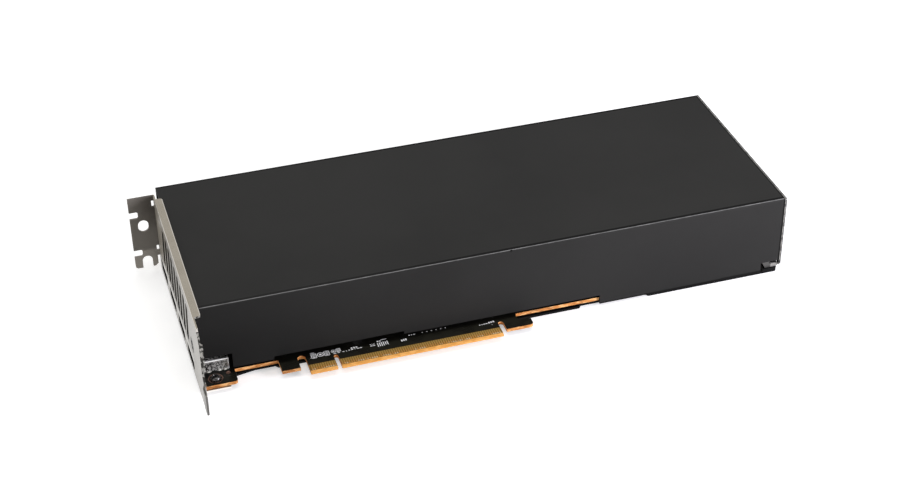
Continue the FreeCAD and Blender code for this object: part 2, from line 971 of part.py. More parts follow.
# ---- cooling ----
def make_heat_sink_base():
    outline = rectangle(base_left, base_right, base_front, base_back, 2.0)
    plate = slab(outline, base_low, base_low + base_thickness)
    foot = slab(processor_window(pedestal / 2, 0), pedestal_low, base_low)
    bosses = [post(x, y, retention_boss, 0.4, base_low) for x, y in retention_holes]
    base = join([plate, foot] + bosses)
    holes = [post(x, y, screw_radius + screw_gap, 0, 5.2) for x, y in retention_holes]
    return cut(base, holes)


def make_fins():
    # each fin is a folded sheet: an upright with a foot and a cap turned towards the fin before it
    low = base_low + base_thickness
    fold = fin_pitch - fin_sheet - fin_fold_gap
    fins = []
    for i in range(fin_count):
        y = fin_first + i * fin_pitch
        section = [
            (y - fold, low),
            (y + fin_sheet, low),
            (y + fin_sheet, fin_top),
            (y - fold, fin_top),
            (y - fold, fin_top - fin_sheet),
            (y, fin_top - fin_sheet),
            (y, low + fin_sheet),
            (y - fold, low + fin_sheet),
        ]
        fins.append(panel(section, base_left + fin_inset, base_right - fin_inset))
    return Part.makeCompound(fins)


def make_cast_frame():
    front = lip_front
    back = lip_back
    plate = slab(rectangle(cast_left, cast_right, front, back), cast_low, base_low)
    plate = plate.cut(slab(processor_window(cast_window / 2, 0), cast_low - 1, base_low + 1))
    near = power_y - 1.5
    far = power_y + power_columns * power_cell + 2 * power_wall + 1.5
    plate = plate.cut(box(power_left - 2.2, cast_right + 1, near, far, cast_low - 1, base_low + 1))
    shapes = [plate]
    shapes.append(box(34, deep_left - 4.2, front, front + lip_thickness, cast_low, lip_top))
    shapes.append(box(34, cast_right - 2.5, back - lip_thickness, back, cast_low, lip_top))
    shapes += [post(x, y, boss_radius, 0, cast_low) for x, y in frame_holes]
    half = stage_pad_width / 2
    near = stage_pad_near - 0.5
    far = stage_pad_far + 0.5
    for x in stage_columns:
        shapes.append(box(x - half, x + half, near, far, stage_pad_top, cast_low))
    arm_far = front + arm_width
    shapes.append(box(cast_left, cast_left + 4.5, front, arm_far, cast_low, arm_top))
    shapes.append(box(sheet + fit_gap, cast_left + 4.5, front, arm_far, arm_low, arm_top))
    frame = join(shapes)
    tools = [post(x, y, screw_radius + screw_gap, 0, cast_low - 0.8) for x, y in frame_holes]
    radius = bracket_screw_radius + screw_gap
    tools.append(side_post(radius, 6.4, Vector(0, face_hole[0], face_hole[1]), (Vector(0, 1, 0), 90)))
    for x in shroud_screw_x:
        tools.append(countersink(x, screw_gap))
    return cut(frame, tools)


# ---- parts on the board ----
def phase_rows():
    return [phase_first + i * phase_pitch for i in range(phase_count)]


def block(x, y, length, width, low, high):
    # a box centred on x, y
    return box(x - length / 2, x + length / 2, y - width / 2, y + width / 2, low, high)


def make_power_stages():
    return Part.makeCompound([
        block(x, y, stage_length, stage_width, 0, stage_height)
        for x in stage_columns
        for y in phase_rows()
    ])


def make_stage_pads():
    # soft pads carry the power stages' heat into the cast frame
    half = stage_pad_width / 2
    return Part.makeCompound([
        box(x - half, x + half, stage_pad_near, stage_pad_far, stage_height, stage_pad_top)
        for x in stage_columns
    ])


def make_inductors():
    chokes = []
    for x in stage_columns:
        left = x + choke_offset
        for y in phase_rows():
            outline = rectangle(left, left + choke_length, y - choke_width / 2, y + choke_width / 2)
            chokes.append(slab(bevelled(outline, 0.5), 0, choke_height))
    return Part.makeCompound(chokes)


def make_bulk_capacitors():
    return Part.makeCompound([
        post(x, y, can_radius, 0, can_height)
        for x in can_columns
        for y in phase_rows()
    ])


def make_ceramics():
    chips = []
    for i in range(ceramic_count):
        x = processor_x + (i - (ceramic_count - 1) / 2) * ceramic_pitch
        for side in (-1, 1):
            y = processor_y + side * (package_size / 2 + ceramic_offset)
            chips.append(block(x, y, ceramic_length, ceramic_width, 0, ceramic_width))
    return Part.makeCompound(chips)


def chip(spot):
    x, y, length, width, height = spot
    return box(x, x + length, y, y + width, 0, height)


def make_control_chips():
    return Part.makeCompound([chip(spot) for spot in control_chip_boxes])


def make_firmware_chip():
    return chip(firmware_chip_box)


def make_package():
    return slab(processor_window(package_size / 2, 0), 0, package_height)


def make_die():
    return box(
        processor_x - die_x / 2,
        processor_x + die_x / 2,
        processor_y - die_y / 2,
        processor_y + die_y / 2,
        package_height,
        package_height + die_height,
    )


def make_memory():
    stacks = []
    for side in (-1, 1):
        for row in (-1, 1):
            x = processor_x + side * (die_x / 2 + memory_gap + memory_length / 2)
            y = processor_y + row * memory_row
            top = package_height + die_height
            stacks.append(block(x, y, memory_length, memory_width, package_height, top))
    return Part.makeCompound(stacks)


def make_stiffener():
    outer = slab(processor_window(ring_outer / 2, 0), package_height, package_height + ring_height)
    return outer.cut(slab(processor_window(ring_inner / 2, 0), package_height - 1, package_height + 2))


def make_compound():
    low = package_height + die_height
    half_x = die_x / 2 + memory_gap + memory_length
    half_y = die_y / 2
    return box(
        processor_x - half_x,
        processor_x + half_x,
        processor_y - half_y,
        processor_y + half_y,
        low,
        low + compound_height,
    )


# ---- power socket at the rear end ----
def power_cells():
    cells = []
    for row in range(power_rows):
        for column in range(power_columns):
            y = power_y + power_wall + (column + 0.5) * power_cell
            z = power_low + power_wall + (row + 0.5) * power_cell
            cells.append((y, z, (row + column) % 2))
    return cells


def make_power_housing():
    width = power_columns * power_cell + 2 * power_wall
    height = power_rows * power_cell + 2 * power_wall
    housing = box(power_left, power_right, power_y, power_y + width, power_low, power_low + height)
    middle = power_y + width / 2
    latch = cheek(
        [
            (power_right - 9.0, power_low + height - 0.1),
            (power_right - 1.0, power_low + height - 0.1),
            (power_right - 1.0, power_low + height + 0.5),
            (power_right - 3.6, power_low + height + 1.7),
            (power_right - 9.0, power_low + height + 1.7),
        ],
        middle - 1.9,
        middle + 1.9,
    )
    legs = [post(power_left + 4.0, y, 1.4, 0, power_low + 0.1) for y in (power_y + 2, power_y + width - 2)]
    housing = join([housing, latch] + legs)
    cavities = []
    for y, z, keyed in power_cells():
        half = power_cell / 2 - 0.35
        outline = rectangle(y - half, y + half, z - half, z + half)
        if keyed:
            outline = bevelled(outline, 0.9)
        cavities.append(panel(outline, power_right - power_depth, power_right + 1))
    return cut(housing, cavities)


def make_power_pins():
    start = power_right - power_depth
    pins = []
    for y, z, keyed in power_cells():
        pins.append(box(start, power_right - 4.5, y - 0.75, y + 0.75, z - 0.75, z + 0.75))
    return Part.makeCompound(pins)


save("main_board", make_board())
save("edge_contacts", make_contacts())
save("io_bracket", make_bracket())
save("bracket_screws", make_bracket_screws())
save("display_socket_shells", make_socket_shells())
save("display_socket_inserts", make_socket_inserts())
save("shroud", make_shroud())
save("shroud_screws", make_shroud_screws())
save("end_frame", make_end_frame())
save("end_frame_screws", make_end_screws())
save("back_plate", make_back_plate())
save("insulating_film", make_film())
save("cast_frame_screws", make_frame_screws())
save("retention_spring", make_spring())
save("retention_screws", make_retention_screws())
save("heat_sink_base", make_heat_sink_base())
save("heat_sink_fins", make_fins())
save("cast_frame", make_cast_frame())
save("power_stages", make_power_stages())
save("power_stage_pads", make_stage_pads())
save("inductors", make_inductors())
save("bulk_capacitors", make_bulk_capacitors())
save("ceramic_capacitors", make_ceramics())
save("control_chips", make_control_chips())
save("firmware_chip", make_firmware_chip())
save("processor_substrate", make_package())
save("processor_die", make_die())
save("memory_stacks", make_memory())
save("package_stiffener", make_stiffener())
save("thermal_compound", make_compound())
save("power_socket_housing", make_power_housing())
save("power_socket_pins", make_power_pins())
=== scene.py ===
import json
import math
import random

import bmesh
import bpy
from mathutils import Matrix, Vector


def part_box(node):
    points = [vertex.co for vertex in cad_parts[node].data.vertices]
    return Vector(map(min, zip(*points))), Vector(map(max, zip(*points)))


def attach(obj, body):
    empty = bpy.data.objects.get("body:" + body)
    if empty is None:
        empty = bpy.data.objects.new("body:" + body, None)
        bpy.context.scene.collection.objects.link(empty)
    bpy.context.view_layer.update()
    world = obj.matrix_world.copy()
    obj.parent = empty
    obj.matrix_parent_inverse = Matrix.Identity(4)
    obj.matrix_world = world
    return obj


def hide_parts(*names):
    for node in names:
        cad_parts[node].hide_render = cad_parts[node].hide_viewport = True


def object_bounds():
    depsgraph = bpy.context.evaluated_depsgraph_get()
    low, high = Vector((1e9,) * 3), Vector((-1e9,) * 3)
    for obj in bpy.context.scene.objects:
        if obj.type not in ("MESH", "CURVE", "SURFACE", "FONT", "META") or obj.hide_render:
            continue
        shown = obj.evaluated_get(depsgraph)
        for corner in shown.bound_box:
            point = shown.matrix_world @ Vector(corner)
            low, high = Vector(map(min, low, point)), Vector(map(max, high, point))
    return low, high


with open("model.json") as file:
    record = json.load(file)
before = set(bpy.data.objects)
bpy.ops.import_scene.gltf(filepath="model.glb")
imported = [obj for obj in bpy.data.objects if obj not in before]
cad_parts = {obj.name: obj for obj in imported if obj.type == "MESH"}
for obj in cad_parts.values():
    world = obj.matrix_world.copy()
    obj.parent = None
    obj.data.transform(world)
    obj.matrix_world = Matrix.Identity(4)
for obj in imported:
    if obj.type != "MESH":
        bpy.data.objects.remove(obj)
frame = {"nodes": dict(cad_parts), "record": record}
cadLow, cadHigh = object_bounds()
mm = 0.001
boardStart = 1.6  # millimetres from the bracket's outer face to the board
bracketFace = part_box("main_board")[0].x - boardStart * mm
print("frame loaded")


def spot(x, y):
    # a place on the board, in millimetres from the bracket's face and from the connector's tip
    return Vector((bracketFace + x * mm, y * mm, 0))


def spanFrom(base, span, unit=mm):
    # two places, given as distances from a third
    return base + span[0] * unit, base + span[1] * unit


# material helpers
grainSpan = (0.3, 0.7)  # the levels between which a noise does most of its work


def grey(level):
    return (level, level, level)


def feed(tree, socket, value):
    if isinstance(value, bpy.types.NodeSocket):
        tree.links.new(value, socket)
    elif socket.type == "RGBA":
        socket.default_value = (*value, 1)
    else:
        socket.default_value = value


def put(tree, kind, sockets, **settings):
    node = tree.nodes.new("ShaderNode" + kind)
    for key, value in settings.items():
        setattr(node, key, value)
    for key, value in sockets.items():
        feed(tree, node.inputs[key], value)
    return node


def newFinish(name):
    mat = bpy.data.materials.new(name)
    mat.use_nodes = True
    tree = mat.node_tree
    coords = tree.nodes.new("ShaderNodeTexCoord").outputs["Object"]
    return mat, tree, tree.nodes["Principled BSDF"], coords


def split(tree, vector):
    return put(tree, "SeparateXYZ", {"Vector": vector}).outputs


def millimetres(tree, coords):
    # how far from the bracket's face, from the connector's tip and above the board, as three sockets
    moved = put(tree, "VectorMath", {0: coords, 1: (bracketFace, 0, 0)}, operation="SUBTRACT").outputs[0]
    return split(tree, put(tree, "VectorMath", {0: moved, "Scale": 1 / mm}, operation="SCALE").outputs[0])


def noiseOf(tree, coords, scale, detail, stretch=None):
    if stretch:
        coords = put(tree, "Mapping", {"Vector": coords, "Scale": stretch}).outputs[0]
    return put(tree, "TexNoise", {"Vector": coords, "Scale": scale, "Detail": detail}).outputs["Fac"]


def rise(tree, value, low, high, toLow=0.0, toHigh=1.0):
    # a smooth step from one amount to another between two levels
    sockets = {"Value": value, "From Min": low, "From Max": high, "To Min": toLow, "To Max": toHigh}
    return put(tree, "MapRange", sockets, interpolation_type="SMOOTHSTEP").outputs[0]


def fall(tree, value, low, high, toLow=1.0, toHigh=0.0):
    return rise(tree, value, low, high, toLow, toHigh)


def maths(tree, operation, *amounts):
    return put(tree, "Math", dict(enumerate(amounts)), operation=operation).outputs[0]


def chained(tree, operation, amounts):
    result = amounts[0]
    for amount in amounts[1:]:
        result = maths(tree, operation, result, amount)
    return result


def times(tree, *amounts):
    return chained(tree, "MULTIPLY", amounts)


def most(tree, *amounts):
    return chained(tree, "MAXIMUM", amounts)


def plus(tree, a, b):
    return maths(tree, "ADD", a, b)


def minus(tree, a, b):
    return maths(tree, "SUBTRACT", a, b)


def isLess(tree, a, b):
    return maths(tree, "LESS_THAN", a, b)


def isMore(tree, a, b):
    return maths(tree, "GREATER_THAN", a, b)


def between(tree, value, low, high, soft=0.15):
    # 1 between two levels, fading to 0 over a short way outside them
    return times(tree, rise(tree, value, low - soft, low), fall(tree, value, high, high + soft))


def blend(tree, amount, a, b):
    node = tree.nodes.new("ShaderNodeMix")
    node.data_type = "RGBA"
    for socket, value in ((node.inputs[0], amount), (node.inputs[6], a), (node.inputs[7], b)):
        feed(tree, socket, value)
    return node.outputs[2]


def bumpOf(tree, height, distance):
    return put(tree, "Bump", {"Height": height, "Distance": distance, "Strength": 1.0}).outputs[0]


def dress(tree, shader, look, colour, grain, relief=None):
    # how most finishes end: a colour, a grain that shows in the gloss and the surface, and the even amounts
    feed(tree, shader.inputs["Base Color"], colour)
    feed(tree, shader.inputs["Roughness"], rise(tree, grain, *grainSpan, *look["rough"]))
    feed(tree, shader.inputs["Normal"], bumpOf(tree, grain if relief is None else relief, look["bump"]))
    shader.inputs["Metallic"].default_value = look.get("metal", 0.0)
    shader.inputs["Specular IOR Level"].default_value = look.get("gleam", 0.5)


# finishes that need no more than a broad tone, a fine grain and a bump
plainFinishes = {
    "black_screw": dict(
        # the pale flecks in the black are painted glints
        colour=(0.012, 0.012, 0.013), other=(0.16, 0.155, 0.15),
        metal=0.85, rough=(0.16, 0.34), grain=1500, bump=5e-6),
    "black_plastic": dict(
        colour=(0.016, 0.016, 0.017), other=(0.024, 0.024, 0.025),
        rough=(0.42, 0.6), grain=5200, bump=6e-6),
    "back_plate_paint": dict(
        colour=grey(0.008), other=(0.014, 0.014, 0.0135),
        rough=(0.5, 0.66), grain=4200, bump=10e-6, gleam=0.1,
        # painted shade along the edge on the connector's side
        shadeTone=grey(0.001), shadeShare=0.9, shadeSpan=(14.0, 18.0)),  # millimetres from the connector's tip
    "film": dict(
        colour=(0.028, 0.029, 0.030), other=grey(0.045),
        rough=(0.25, 0.4), grain=700, bump=4e-6),
    "spring_steel": dict(
        colour=(0.42, 0.41, 0.39), other=(0.55, 0.54, 0.52),
        metal=1.0, rough=(0.28, 0.42), grain=1800, bump=3e-6, stretch=(1, 9, 9)),
    "bright_screw": dict(
        colour=(0.46, 0.45, 0.43), other=(0.62, 0.61, 0.58),
        metal=1.0, rough=(0.2, 0.36), grain=2600, bump=3e-6),
    "heat_sink_metal": dict(
        colour=grey(0.60), other=grey(0.70),
        metal=1.0, rough=(0.3, 0.45), grain=2200, bump=4e-6, stretch=(1, 12, 12)),
    "fin_metal": dict(
        colour=grey(0.62), other=grey(0.74),
        metal=1.0, rough=(0.26, 0.42), grain=2000, bump=3e-6, stretch=(1, 14, 14)),
    "cast_metal": dict(
        colour=(0.30, 0.30, 0.31), other=(0.42, 0.42, 0.43),
        metal=0.9, rough=(0.5, 0.68), grain=2600, bump=22e-6),
    "chip_plastic": dict(
        colour=(0.017, 0.017, 0.018), other=(0.030, 0.030, 0.031),
        rough=(0.5, 0.66), grain=6000, bump=5e-6),
    "thermal_pad": dict(
        colour=(0.33, 0.37, 0.42), other=(0.42, 0.46, 0.51),
        rough=(0.7, 0.85), grain=2400, bump=24e-6),
    "choke": dict(
        colour=(0.075, 0.075, 0.078), other=grey(0.14),
        metal=0.3, rough=(0.55, 0.72), grain=5200, bump=14e-6),
    "capacitor_can": dict(
        colour=(0.52, 0.52, 0.53), other=grey(0.66),
        metal=1.0, rough=(0.3, 0.46), grain=3000, bump=5e-6),
    "ceramic_chip": dict(
        colour=(0.40, 0.27, 0.15), other=(0.55, 0.40, 0.25),
        rough=(0.4, 0.55), grain=4000, bump=5e-6),
    "package_laminate": dict(
        colour=(0.02, 0.075, 0.035), other=(0.03, 0.11, 0.05),
        rough=(0.3, 0.42), grain=1800, bump=6e-6),
    "silicon": dict(
        colour=(0.07, 0.075, 0.09), other=(0.10, 0.105, 0.125),
        metal=0.2, rough=(0.08, 0.16), grain=900, bump=1e-6),
    "stiffener_metal": dict(
        colour=(0.46, 0.45, 0.43), other=(0.56, 0.55, 0.52),
        metal=1.0, rough=(0.28, 0.4), grain=2200, bump=4e-6, stretch=(1, 8, 8)),
    "thermal_paste": dict(
        colour=(0.34, 0.34, 0.35), other=(0.44, 0.44, 0.45),
        rough=(0.55, 0.75), grain=1400, bump=30e-6),
}
broadShare = 0.02  # how much coarser a finish's broad tone is than its grain


def plainFinish(name, look):
    mat, tree, shader, coords = newFinish(name)
    broad = noiseOf(tree, coords, look["grain"] * broadShare, 4.0)
    fine = noiseOf(tree, coords, look["grain"], 2.0, look.get("stretch"))
    amount = times(tree, plus(tree, broad, fine), 0.5)
    colour = blend(tree, rise(tree, amount, *grainSpan), look["colour"], look["other"])
    if "shadeTone" in look:  # painted shade: darker along the edge on the connector's side
        shadedRim = fall(tree, millimetres(tree, coords)[1], *look["shadeSpan"], look["shadeShare"])
        colour = blend(tree, shadedRim, colour, look["shadeTone"])
    dress(tree, shader, look, colour, fine)
    return mat


# the board: dark mask over faint copper, bare laminate where it was cut and round the contacts
boardLook = dict(
    mask=(0.0085, 0.0082, 0.0062),
    copperUnderMask=(0.0155, 0.0150, 0.0105),
    shadeTone=(0.0012, 0.0010, 0.0008),
    laminate=(0.62, 0.25, 0.065),
    laminatePale=(0.92, 0.52, 0.21),
    laminateDark=(0.26, 0.095, 0.026),
    contactGround=(0.24, 0.135, 0.026),
    bevel=(0.72, 0.33, 0.068),
    bevelPale=(0.84, 0.43, 0.12),
    skin=0.02,  # the lengths are millimetres
    bevelBack=1.45,
    contactBack=5.35,
    contactMargin=1.0,
    layerPitch=0.26,
    shadeBeside=(-1.7, -0.5),  # from the shroud's front wall
    shadeShare=0.8,
    pourScale=130,  # noises, and the levels at which they begin and are full
    pourLevels=(0.47, 0.5),
    runScale=420.0,
    runLevels=(0.62, 0.75),
    holeScale=420.0,
    holeLevels=(0.09, 0.13),
    clothScale=260,
    clothLevels=(0.46, 0.62),
    charScale=340,
    charLevels=(0.50, 0.62),
    charred=0.7,
    layerLevels=(0.4, 1.0),
    layered=0.35,
    bevelLevels=(0.4, 0.65),
    bevelled=0.9,
    rough=(0.28, 0.38),
    cutRougher=0.3,
    bump=18e-6,
    gleam=0.22,
)


def boardFinish():
    look = boardLook
    mat, tree, shader, coords = newFinish("boardMask")
    low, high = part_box("main_board")
    x, y, z = split(tree, coords)
    skin = look["skin"] * mm
    cut = times(tree, isLess(tree, z, high.z - skin), isMore(tree, z, low.z + skin))
    # copper areas, fine runs and plated holes under the mask
    pour = rise(tree, noiseOf(tree, coords, look["pourScale"], 1.0), *look["pourLevels"])
    waves = {"Vector": coords, "Scale": look["runScale"], "Distortion": 3.0, "Detail": 1.0}
    runs = put(tree, "TexWave", waves, bands_direction="DIAGONAL").outputs["Fac"]
    runs = times(tree, rise(tree, runs, *look["runLevels"]), minus(tree, 1.0, pour))
    holes = put(tree, "TexVoronoi", {"Vector": coords, "Scale": look["holeScale"]}).outputs["Distance"]
    relief = most(tree, pour, runs, fall(tree, holes, *look["holeLevels"]))
    masked = blend(tree, relief, look["mask"], look["copperUnderMask"])
    # the contacts stand on bare laminate
    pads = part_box("edge_contacts")
    margin = look["contactMargin"] * mm
    inRow = times(
        tree,
        isMore(tree, x, pads[0].x - margin),
        isLess(tree, x, pads[1].x + margin),
        isLess(tree, y, look["contactBack"] * mm),
    )
    face = blend(tree, inRow, masked, look["contactGround"])
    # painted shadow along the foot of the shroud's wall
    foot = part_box("shroud")[0].y
    shadeShare = rise(tree, y, *spanFrom(foot, look["shadeBeside"]), 0.0, look["shadeShare"])
    face = blend(tree, shadeShare, face, look["shadeTone"])
    # cut edges: glass layers and cloth
    layers = maths(tree, "SINE", times(tree, z, 2 * math.pi / (look["layerPitch"] * mm)))
    cloth = noiseOf(tree, coords, look["clothScale"], 5.0, (1, 1, 4))
    charred = rise(tree, noiseOf(tree, coords, look["charScale"], 4.0, (1, 1, 3)), *look["charLevels"])
    edge = blend(tree, rise(tree, cloth, *look["clothLevels"]), look["laminate"], look["laminatePale"])
    edge = blend(tree, times(tree, charred, look["charred"]), edge, look["laminateDark"])
    layered = rise(tree, layers, *look["layerLevels"], 0.0, look["layered"])
    edge = blend(tree, layered, edge, look["laminateDark"])
    # the bevelled tip is cut clean
    onBevel = times(tree, inRow, cut, isLess(tree, y, look["bevelBack"] * mm))
    bevel = blend(tree, rise(tree, cloth, *look["bevelLevels"]), look["bevel"], look["bevelPale"])
    edge = blend(tree, times(tree, onBevel, look["bevelled"]), edge, bevel)
    feed(tree, shader.inputs["Base Color"], blend(tree, cut, face, edge))
    weave = rise(tree, cloth, *grainSpan, *look["rough"])
    feed(tree, shader.inputs["Roughness"], plus(tree, times(tree, cut, look["cutRougher"]), weave))
    feed(tree, shader.inputs["Normal"], bumpOf(tree, relief, look["bump"]))
    shader.inputs["Specular IOR Level"].default_value = look["gleam"]
    return mat


# the shroud: fine black powder coat, with a painted highlight along its two folds and painted shade beside
# them and on its front wall
shroudLook = dict(
    coat=(0.0190, 0.0188, 0.0182),
    coatPale=(0.0240, 0.0237, 0.0228),
    foldHighlight=(0.20, 0.20, 0.197),
    dark=grey(0.002),
    highlightWidth=0.42,  # the lengths are millimetres
    highlightFade=(0.75, 1.2),  # shares of that width
    highlightShift=0.38,
    highlightDown=0.2,
    patchy=(0.55, 1.0),
    foldShadeInward=(0.9, 2.1),
    foldShadeSoft=0.15,
    foldShadeDown=(0.1, 0.3),
    foldShadeAlong=(10, 150),
    foldShade=(0.5, 1.0),
    rearEdge=(-0.45, -0.3),
    wallSkin=0.1,
    shadedAlong=(0, 85),
    shadedUp=(6, 34),
    wallShade=0.66,
    wallShadeAtTop=0.35,
    edgeAlong=(130, 225),
    edgeUp=(0.5, 0.9),
    broad=14,
    fineShare=0.4,
    coatLevels=(0.45, 0.95),
    patches=260,
    grain=5200,
    bump=9e-6,
    rough=(0.46, 0.60),
    gleam=0.06,
)


def shroudFinish():
    look = shroudLook
    mat, tree, shader, coords = newFinish("powderCoat")
    low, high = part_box("shroud")
    x, y, z = split(tree, coords)
    fine = noiseOf(tree, coords, look["grain"], 2.0)
    mixed = plus(tree, noiseOf(tree, coords, look["broad"], 4.0), times(tree, fine, look["fineShare"]))
    coat = blend(tree, rise(tree, mixed, *look["coatLevels"]), look["coat"], look["coatPale"])
    # how far a point lies from the middle of either fold
    toFront = minus(tree, y, low.y)
    inward = maths(tree, "MINIMUM", toFront, minus(tree, high.y, y))
    down = minus(tree, high.z, z)
    reach = most(tree, minus(tree, inward, look["highlightShift"] * mm), plus(tree, down, look["highlightDown"] * mm))
    # a pale line along each fold: a painted highlight, patchy
    patchy = rise(tree, noiseOf(tree, coords, look["patches"], 3.0, (1, 6, 6)), *grainSpan, *look["patchy"])
    foldHighlight = times(tree, fall(tree, reach, *spanFrom(0, look["highlightFade"], look["highlightWidth"] * mm)), patchy)
    # painted shade: a dark line along the top beside each fold
    beside = between(tree, inward, *spanFrom(0, look["foldShadeInward"]), look["foldShadeSoft"] * mm)
    onTop = fall(tree, down, *spanFrom(0, look["foldShadeDown"]))
    foldShade = times(tree, beside, onTop, rise(tree, x, *spanFrom(low.x, look["foldShadeAlong"]), *look["foldShade"]))
    rear = rise(tree, x, *spanFrom(high.x, look["rearEdge"]))
    # painted shade: the front wall is darker towards the bracket and the board, and dark along its lower
    # rear edge
    onWall = isLess(tree, toFront, look["wallSkin"] * mm)
    wallShade = times(
        tree,
        onWall,
        fall(tree, x, *spanFrom(low.x, look["shadedAlong"]), look["wallShade"]),
        fall(tree, z, *spanFrom(0, look["shadedUp"]), 1.0, look["wallShadeAtTop"]),
    )
    edge = times(
        tree,
        onWall,
        rise(tree, x, *spanFrom(low.x, look["edgeAlong"])),
        fall(tree, z, *spanFrom(low.z, look["edgeUp"])),
    )
    # all of it goes near black as painted shade, the rear edge widening the dark joint with the lip
    coat = blend(tree, most(tree, foldShade, rear, wallShade, edge), coat, look["dark"])
    dress(tree, shader, look, blend(tree, foldHighlight, coat, look["foldHighlight"]), fine)
    return mat


# the bracket: plated steel, with painted shade on the tab and much of its face, and painted highlights over
# the sockets and along the fold
bracketLook = dict(
    face=(0.30, 0.285, 0.265),
    facePale=(0.37, 0.355, 0.33),
    faceShadeDeep=(0.125, 0.112, 0.092),
    faceShadeEnd=(0.25, 0.228, 0.190),
    bend=(0.02, 0.018, 0.015),
    bandHighlight=(0.60, 0.59, 0.56),
    flange=(0.285, 0.257, 0.210),
    flangePale=(0.335, 0.305, 0.255),
    fold=(0.60, 0.57, 0.52),
    cut=(0.17, 0.165, 0.145),
    cutShade=(0.010, 0.010, 0.009),
    edgeDark=(0.018, 0.018, 0.015),
    edgePale=(0.34, 0.335, 0.305),
    earEdge=(0.95, 0.93, 0.86),
    tongue=(0.14, 0.135, 0.125),
    tabShade=(0.098, 0.087, 0.076),
    tabPale=(0.20, 0.185, 0.165),
    shadedAlong=(4, 70),  # the lengths are millimetres, as millimetres() gives them
    shadedUp=(7.4, 9.0),
    endAlong=(60, 78),
    bendAlong=(97.9, 99.3),
    bendSoft=0.3,
    bendFoot=(6.0, 8.0),
    bendTop=(33.5, 34.5),
    bandAlong=(12, 18),
    bandUp=(5.4, 7.2),
    bandSoft=0.4,
    seatAt=(14.2, 15.4),
    seatReach=(3.4, 3.7),
    seatDeep=(0.05, 0.1),
    sheetDeep=(0.05, 0.8),
    sheetSoft=0.02,
    ventsAlong=(15, 96),
    ventsUp=(0.0, 32.2),
    cutDeepAlong=(56, 74),
    cutDeepUp=(12.6, 14.0),
    cutDeepFar=0.12,
    nearEdgeBefore=5.0,
    earBehind=1.0,
    earBelow=-1.0,
    flangeAbove=35.2,
    turnedEdge=(3.3, 3.4),
    tongueAlong=(-14.0, -11.0),
    tabFrom=99.5,
    tabDeep=(-0.1, 0.45),
    tabUp=(21.5, 36.3),
    tabOut=(-11.5, -1.5),
    tabOuter=0.8,
    upright=(0.2, 0.4),  # how far a face looks up, of 1
    facingUp=(0.4, 0.7),
    facingFold=(0.45, 0.7),
    foldSoft=0.1,
    facingTip=-0.6,  # and towards the connector's tip
    facingEnds=0.5,  # and towards either end of the card
    sheared=0.95,
    scattered=0.9,
    streakLevels=(0.35, 0.65),
    cloudScale=90,
    cloudHeight=12,
    speckleScale=620,
    speckleLevels=(0.44, 0.56),
    rough=(0.27, 0.40),
    grain=2400,
    bump=4e-6,
    gleam=0.1,
)


